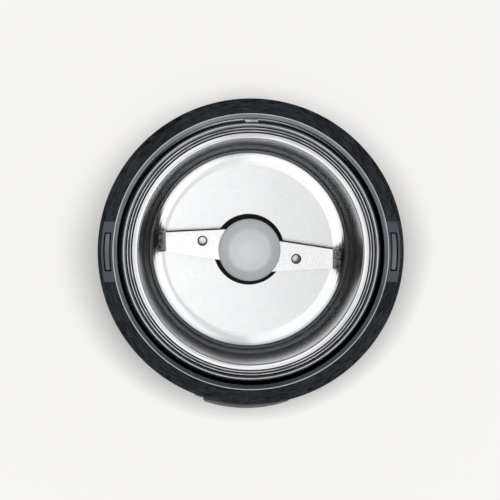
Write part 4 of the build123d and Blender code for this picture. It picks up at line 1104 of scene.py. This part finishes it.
button_size = Vector((button_width, button_height, button_corner))
button_loops = [
    front_loop(*(button_size * share), dome(button_dome_centre))
    for share in (0.15, 0.3, 0.45, 0.6, 0.75, 0.87, 0.94)
]
button_loops += rounded_edge(*button_size, button_dome_centre, 1)
button_loops.append(front_loop(*button_size, flat(button_high.y - button_skirt)))
dress(loft("button", button_loops, sharp=50), "button", "front_button")

bezel_size = (bezel_width, bezel_height, bezel_corner)
hole_size = button_size + Vector((2, 2, 1)) * play
hole_edge = 0.3 * MM     # that the hole widens by at its front
hole_front = hole_size + Vector((1, 1, 0.5)) * hole_edge
bezel_loops = [
    front_loop(*hole_size, flat(bezel_high.y)),
    front_loop(*hole_size, dome(bezel_dome_centre, hole_edge)),
    front_loop(*hole_front, dome(bezel_dome_centre)),
    *rounded_edge(*bezel_size, bezel_dome_centre, 0),
    front_loop(*bezel_size, flat(bezel_high.y)),
]
dress(frame_around("bezel", bezel_loops, sharp=50), "root", "button_bezel")

# ---------------------------------------------------------------- base, foot and inlet
foot_outer = 42.5 * MM
foot_inner = 37.5 * MM
foot = lathe(
    "foot",
    [
        (foot_inner, foot_low.z, 0.6 * MM),
        (foot_outer, foot_low.z, 0.6 * MM),
        (foot_outer, foot_high.z, 0),
        (foot_inner, foot_high.z, 0),
    ],
)
dress(foot, "root", "foot_ring")

inlet_end = inlet_high.y - 0.5 * MM      # kept under the rim's outline, seen from above
inlet_face = inlet_high.y - 2.5 * MM
inlet_radius = 8.0 * MM
inlet_flange = 10.5 * MM
inlet_bore = 3.7 * MM
inlet_mouth = 5.4 * MM
inlet_throat = inlet_low.y + 4.0 * MM    # where the bore starts to flare
inlet = lathe(
    "inlet",
    [
        (inlet_bore, inlet_low.y, FINE),
        (inlet_radius, inlet_low.y, SOFT),
        (inlet_radius, inlet_face, 0),
        (inlet_flange, inlet_face, FINE),
        (inlet_flange, inlet_end, 1.0 * MM),
        (inlet_mouth, inlet_end, 0.9 * MM),
        (inlet_bore, inlet_throat, 1.5 * MM),
    ],
    segments=SMALL_TURN,
)
for vertex in inlet.data.vertices:
    x, y, z = vertex.co
    vertex.co = (x, z, inlet_height - y)
dress(inlet, "root", "cord_inlet")

# ---------------------------------------------------------------- floor with its close shadow
floor_half = 3.0
floor_mesh = bpy.data.meshes.new("floor")
floor_corners = [(x * floor_half, y * floor_half, 0) for x, y in ((-1, -1), (1, -1), (1, 1), (-1, 1))]
floor_mesh.from_pydata(floor_corners, [], [(0, 1, 2, 3)])
floor = link("floor", floor_mesh)
floor_tone = (0.925, 0.915, 0.9)
shadow_reach = 25 * MM           # of the close shadow around the foot, to the left and right
shadow_narrow = 7.5 * MM         # that it is narrower by to the front and back
shadow_shift = 2.5 * MM          # and then wider by to the front, and narrower by to the back
shadow_depth = 2.5               # power that deepens it
shadow_lean = Vector((-0.22, 0.6, 1.0)).normalized()    # side that it is looked for from
floor_share = 0.85               # of its colour that is seen whatever falls on it


def close_shadow(surface):
    """Openness of the floor, from 0 under the object to 1 away from it."""
    backness = surface.math("DIVIDE", surface.split(surface.place)[1], surface.radius())
    narrower = surface.math("MULTIPLY", surface.math("ABSOLUTE", backness), shadow_narrow)
    shifted = surface.math("MULTIPLY", backness, shadow_shift)
    reach = surface.math("SUBTRACT", surface.math("SUBTRACT", shadow_reach, narrower), shifted)
    node = surface.nodes.new("ShaderNodeAmbientOcclusion")
    surface.links.new(reach, node.inputs["Distance"])
    surface.links.new(surface.join(*shadow_lean), node.inputs["Normal"])
    return surface.math("POWER", node.outputs["AO"], shadow_depth)


def floor_white():
    """Pale floor that camera, mirror and glass rays see mostly in its own colour."""
    surface = Surface("floor_white", floor_tone, 0.8, specular=0.1)
    glow = surface.nodes.new("ShaderNodeEmission")
    surface.feed(glow.inputs["Color"], floor_tone)
    surface.feed(glow.inputs["Strength"], close_shadow(surface))
    rays = surface.nodes.new("ShaderNodeLightPath").outputs
    seen = surface.math("MAXIMUM", rays["Is Camera Ray"], rays["Is Glossy Ray"])
    seen = surface.math("MAXIMUM", seen, rays["Is Transmission Ray"])
    both = surface.nodes.new("ShaderNodeMixShader")
    surface.feed(both.inputs[0], surface.math("MULTIPLY", seen, floor_share))
    surface.feed(both.inputs[1], surface.shader.outputs[0])
    surface.feed(both.inputs[2], glow.outputs[0])
    surface.feed(surface.nodes["Material Output"].inputs["Surface"], both.outputs[0])
    return surface.material


floor_mesh.materials.append(floor_white())

# ---------------------------------------------------------------- camera, nearly straight above
camera_height = 700 * MM
camera_data = bpy.data.cameras.new("camera")
camera = link("camera", camera_data)
camera.location = (-14.9 * MM, 18.1 * MM, rim_top + camera_height)
target = Vector((-0.35 * MM, 0.63 * MM, rim_top))
frame_width = 169.3 * MM         # of the picture, at the height of the rim
sensor_width = 36
look = target - camera.location
camera_data.sensor_width = sensor_width
camera_data.lens = sensor_width * look.length / frame_width
camera_right = look.cross(Vector((0, 1, 0))).normalized()
camera_up = camera_right.cross(look).normalized()
camera.rotation_euler = Matrix((camera_right, camera_up, -look.normalized())).transposed().to_euler()
bpy.context.scene.camera = camera

# ---------------------------------------------------------------- soft light of the studio
horizon = 0.28                   # brightness at the horizon
overhead = 1.15                  # added by the soft light above
from_front = 0.2                 # added towards the front, and taken off towards the back
least = 0.05
light_edge = cos(radians(74))    # where the soft light begins, from its middle
light_full = cos(radians(54))    # where it is at its full strength
brightest = Vector((0.04, -0.06, 1)).normalized()
stripe_start = (-0.01, 0.055)    # where a dimmer stripe begins, as a share of the way to the right
stripe_end = (0.16, 0.34)        # and where it ends
stripe_depth = 0.4               # of the light, that is missing there
side_tint = (0.87, 0.95, 1)
overhead_tint = (0.985, 0.99, 0.995)
backdrop = 0.94                  # brightness that the camera sees beyond the floor

world = bpy.data.worlds.new("studio")
bpy.context.scene.world = world
world.use_nodes = True
sky = Nodes(world.node_tree)
direction = sky.nodes.new("ShaderNodeTexCoord").outputs["Generated"]
right, back = sky.split(direction)[:2]
towards = sky.nodes.new("ShaderNodeVectorMath")
towards.operation = "DOT_PRODUCT"
sky.feed(towards.inputs[0], direction)
sky.feed(towards.inputs[1], brightest)
softness = sky.spread(towards.outputs["Value"], 0, 1, light_edge, light_full, smooth=True)
stripe_edges = (sky.spread(right, 0, 1, *edge, smooth=True) for edge in (stripe_start, stripe_end))
stripe = sky.math("SUBTRACT", *stripe_edges)
dimmed = sky.math("SUBTRACT", 1.0, sky.math("MULTIPLY", stripe, stripe_depth))
brightness = sky.math("MULTIPLY", sky.math("MULTIPLY", softness, overhead), dimmed)
brightness = sky.math("ADD", brightness, horizon)
brightness = sky.math("SUBTRACT", brightness, sky.math("MULTIPLY", back, from_front))
brightness = sky.math("MAXIMUM", brightness, least)
plain = sky.nodes.new("ShaderNodeLightPath").outputs["Is Camera Ray"]
strength = sky.math("MULTIPLY", brightness, sky.math("SUBTRACT", 1.0, plain))
strength = sky.math("ADD", strength, sky.math("MULTIPLY", plain, backdrop))
background = sky.nodes["Background"]
sky.feed(background.inputs["Strength"], strength)
sky.feed(background.inputs["Color"], sky.mix(sky.math("MAXIMUM", softness, plain), side_tint, overhead_tint))

bpy.context.scene.view_settings.view_transform = "Standard"
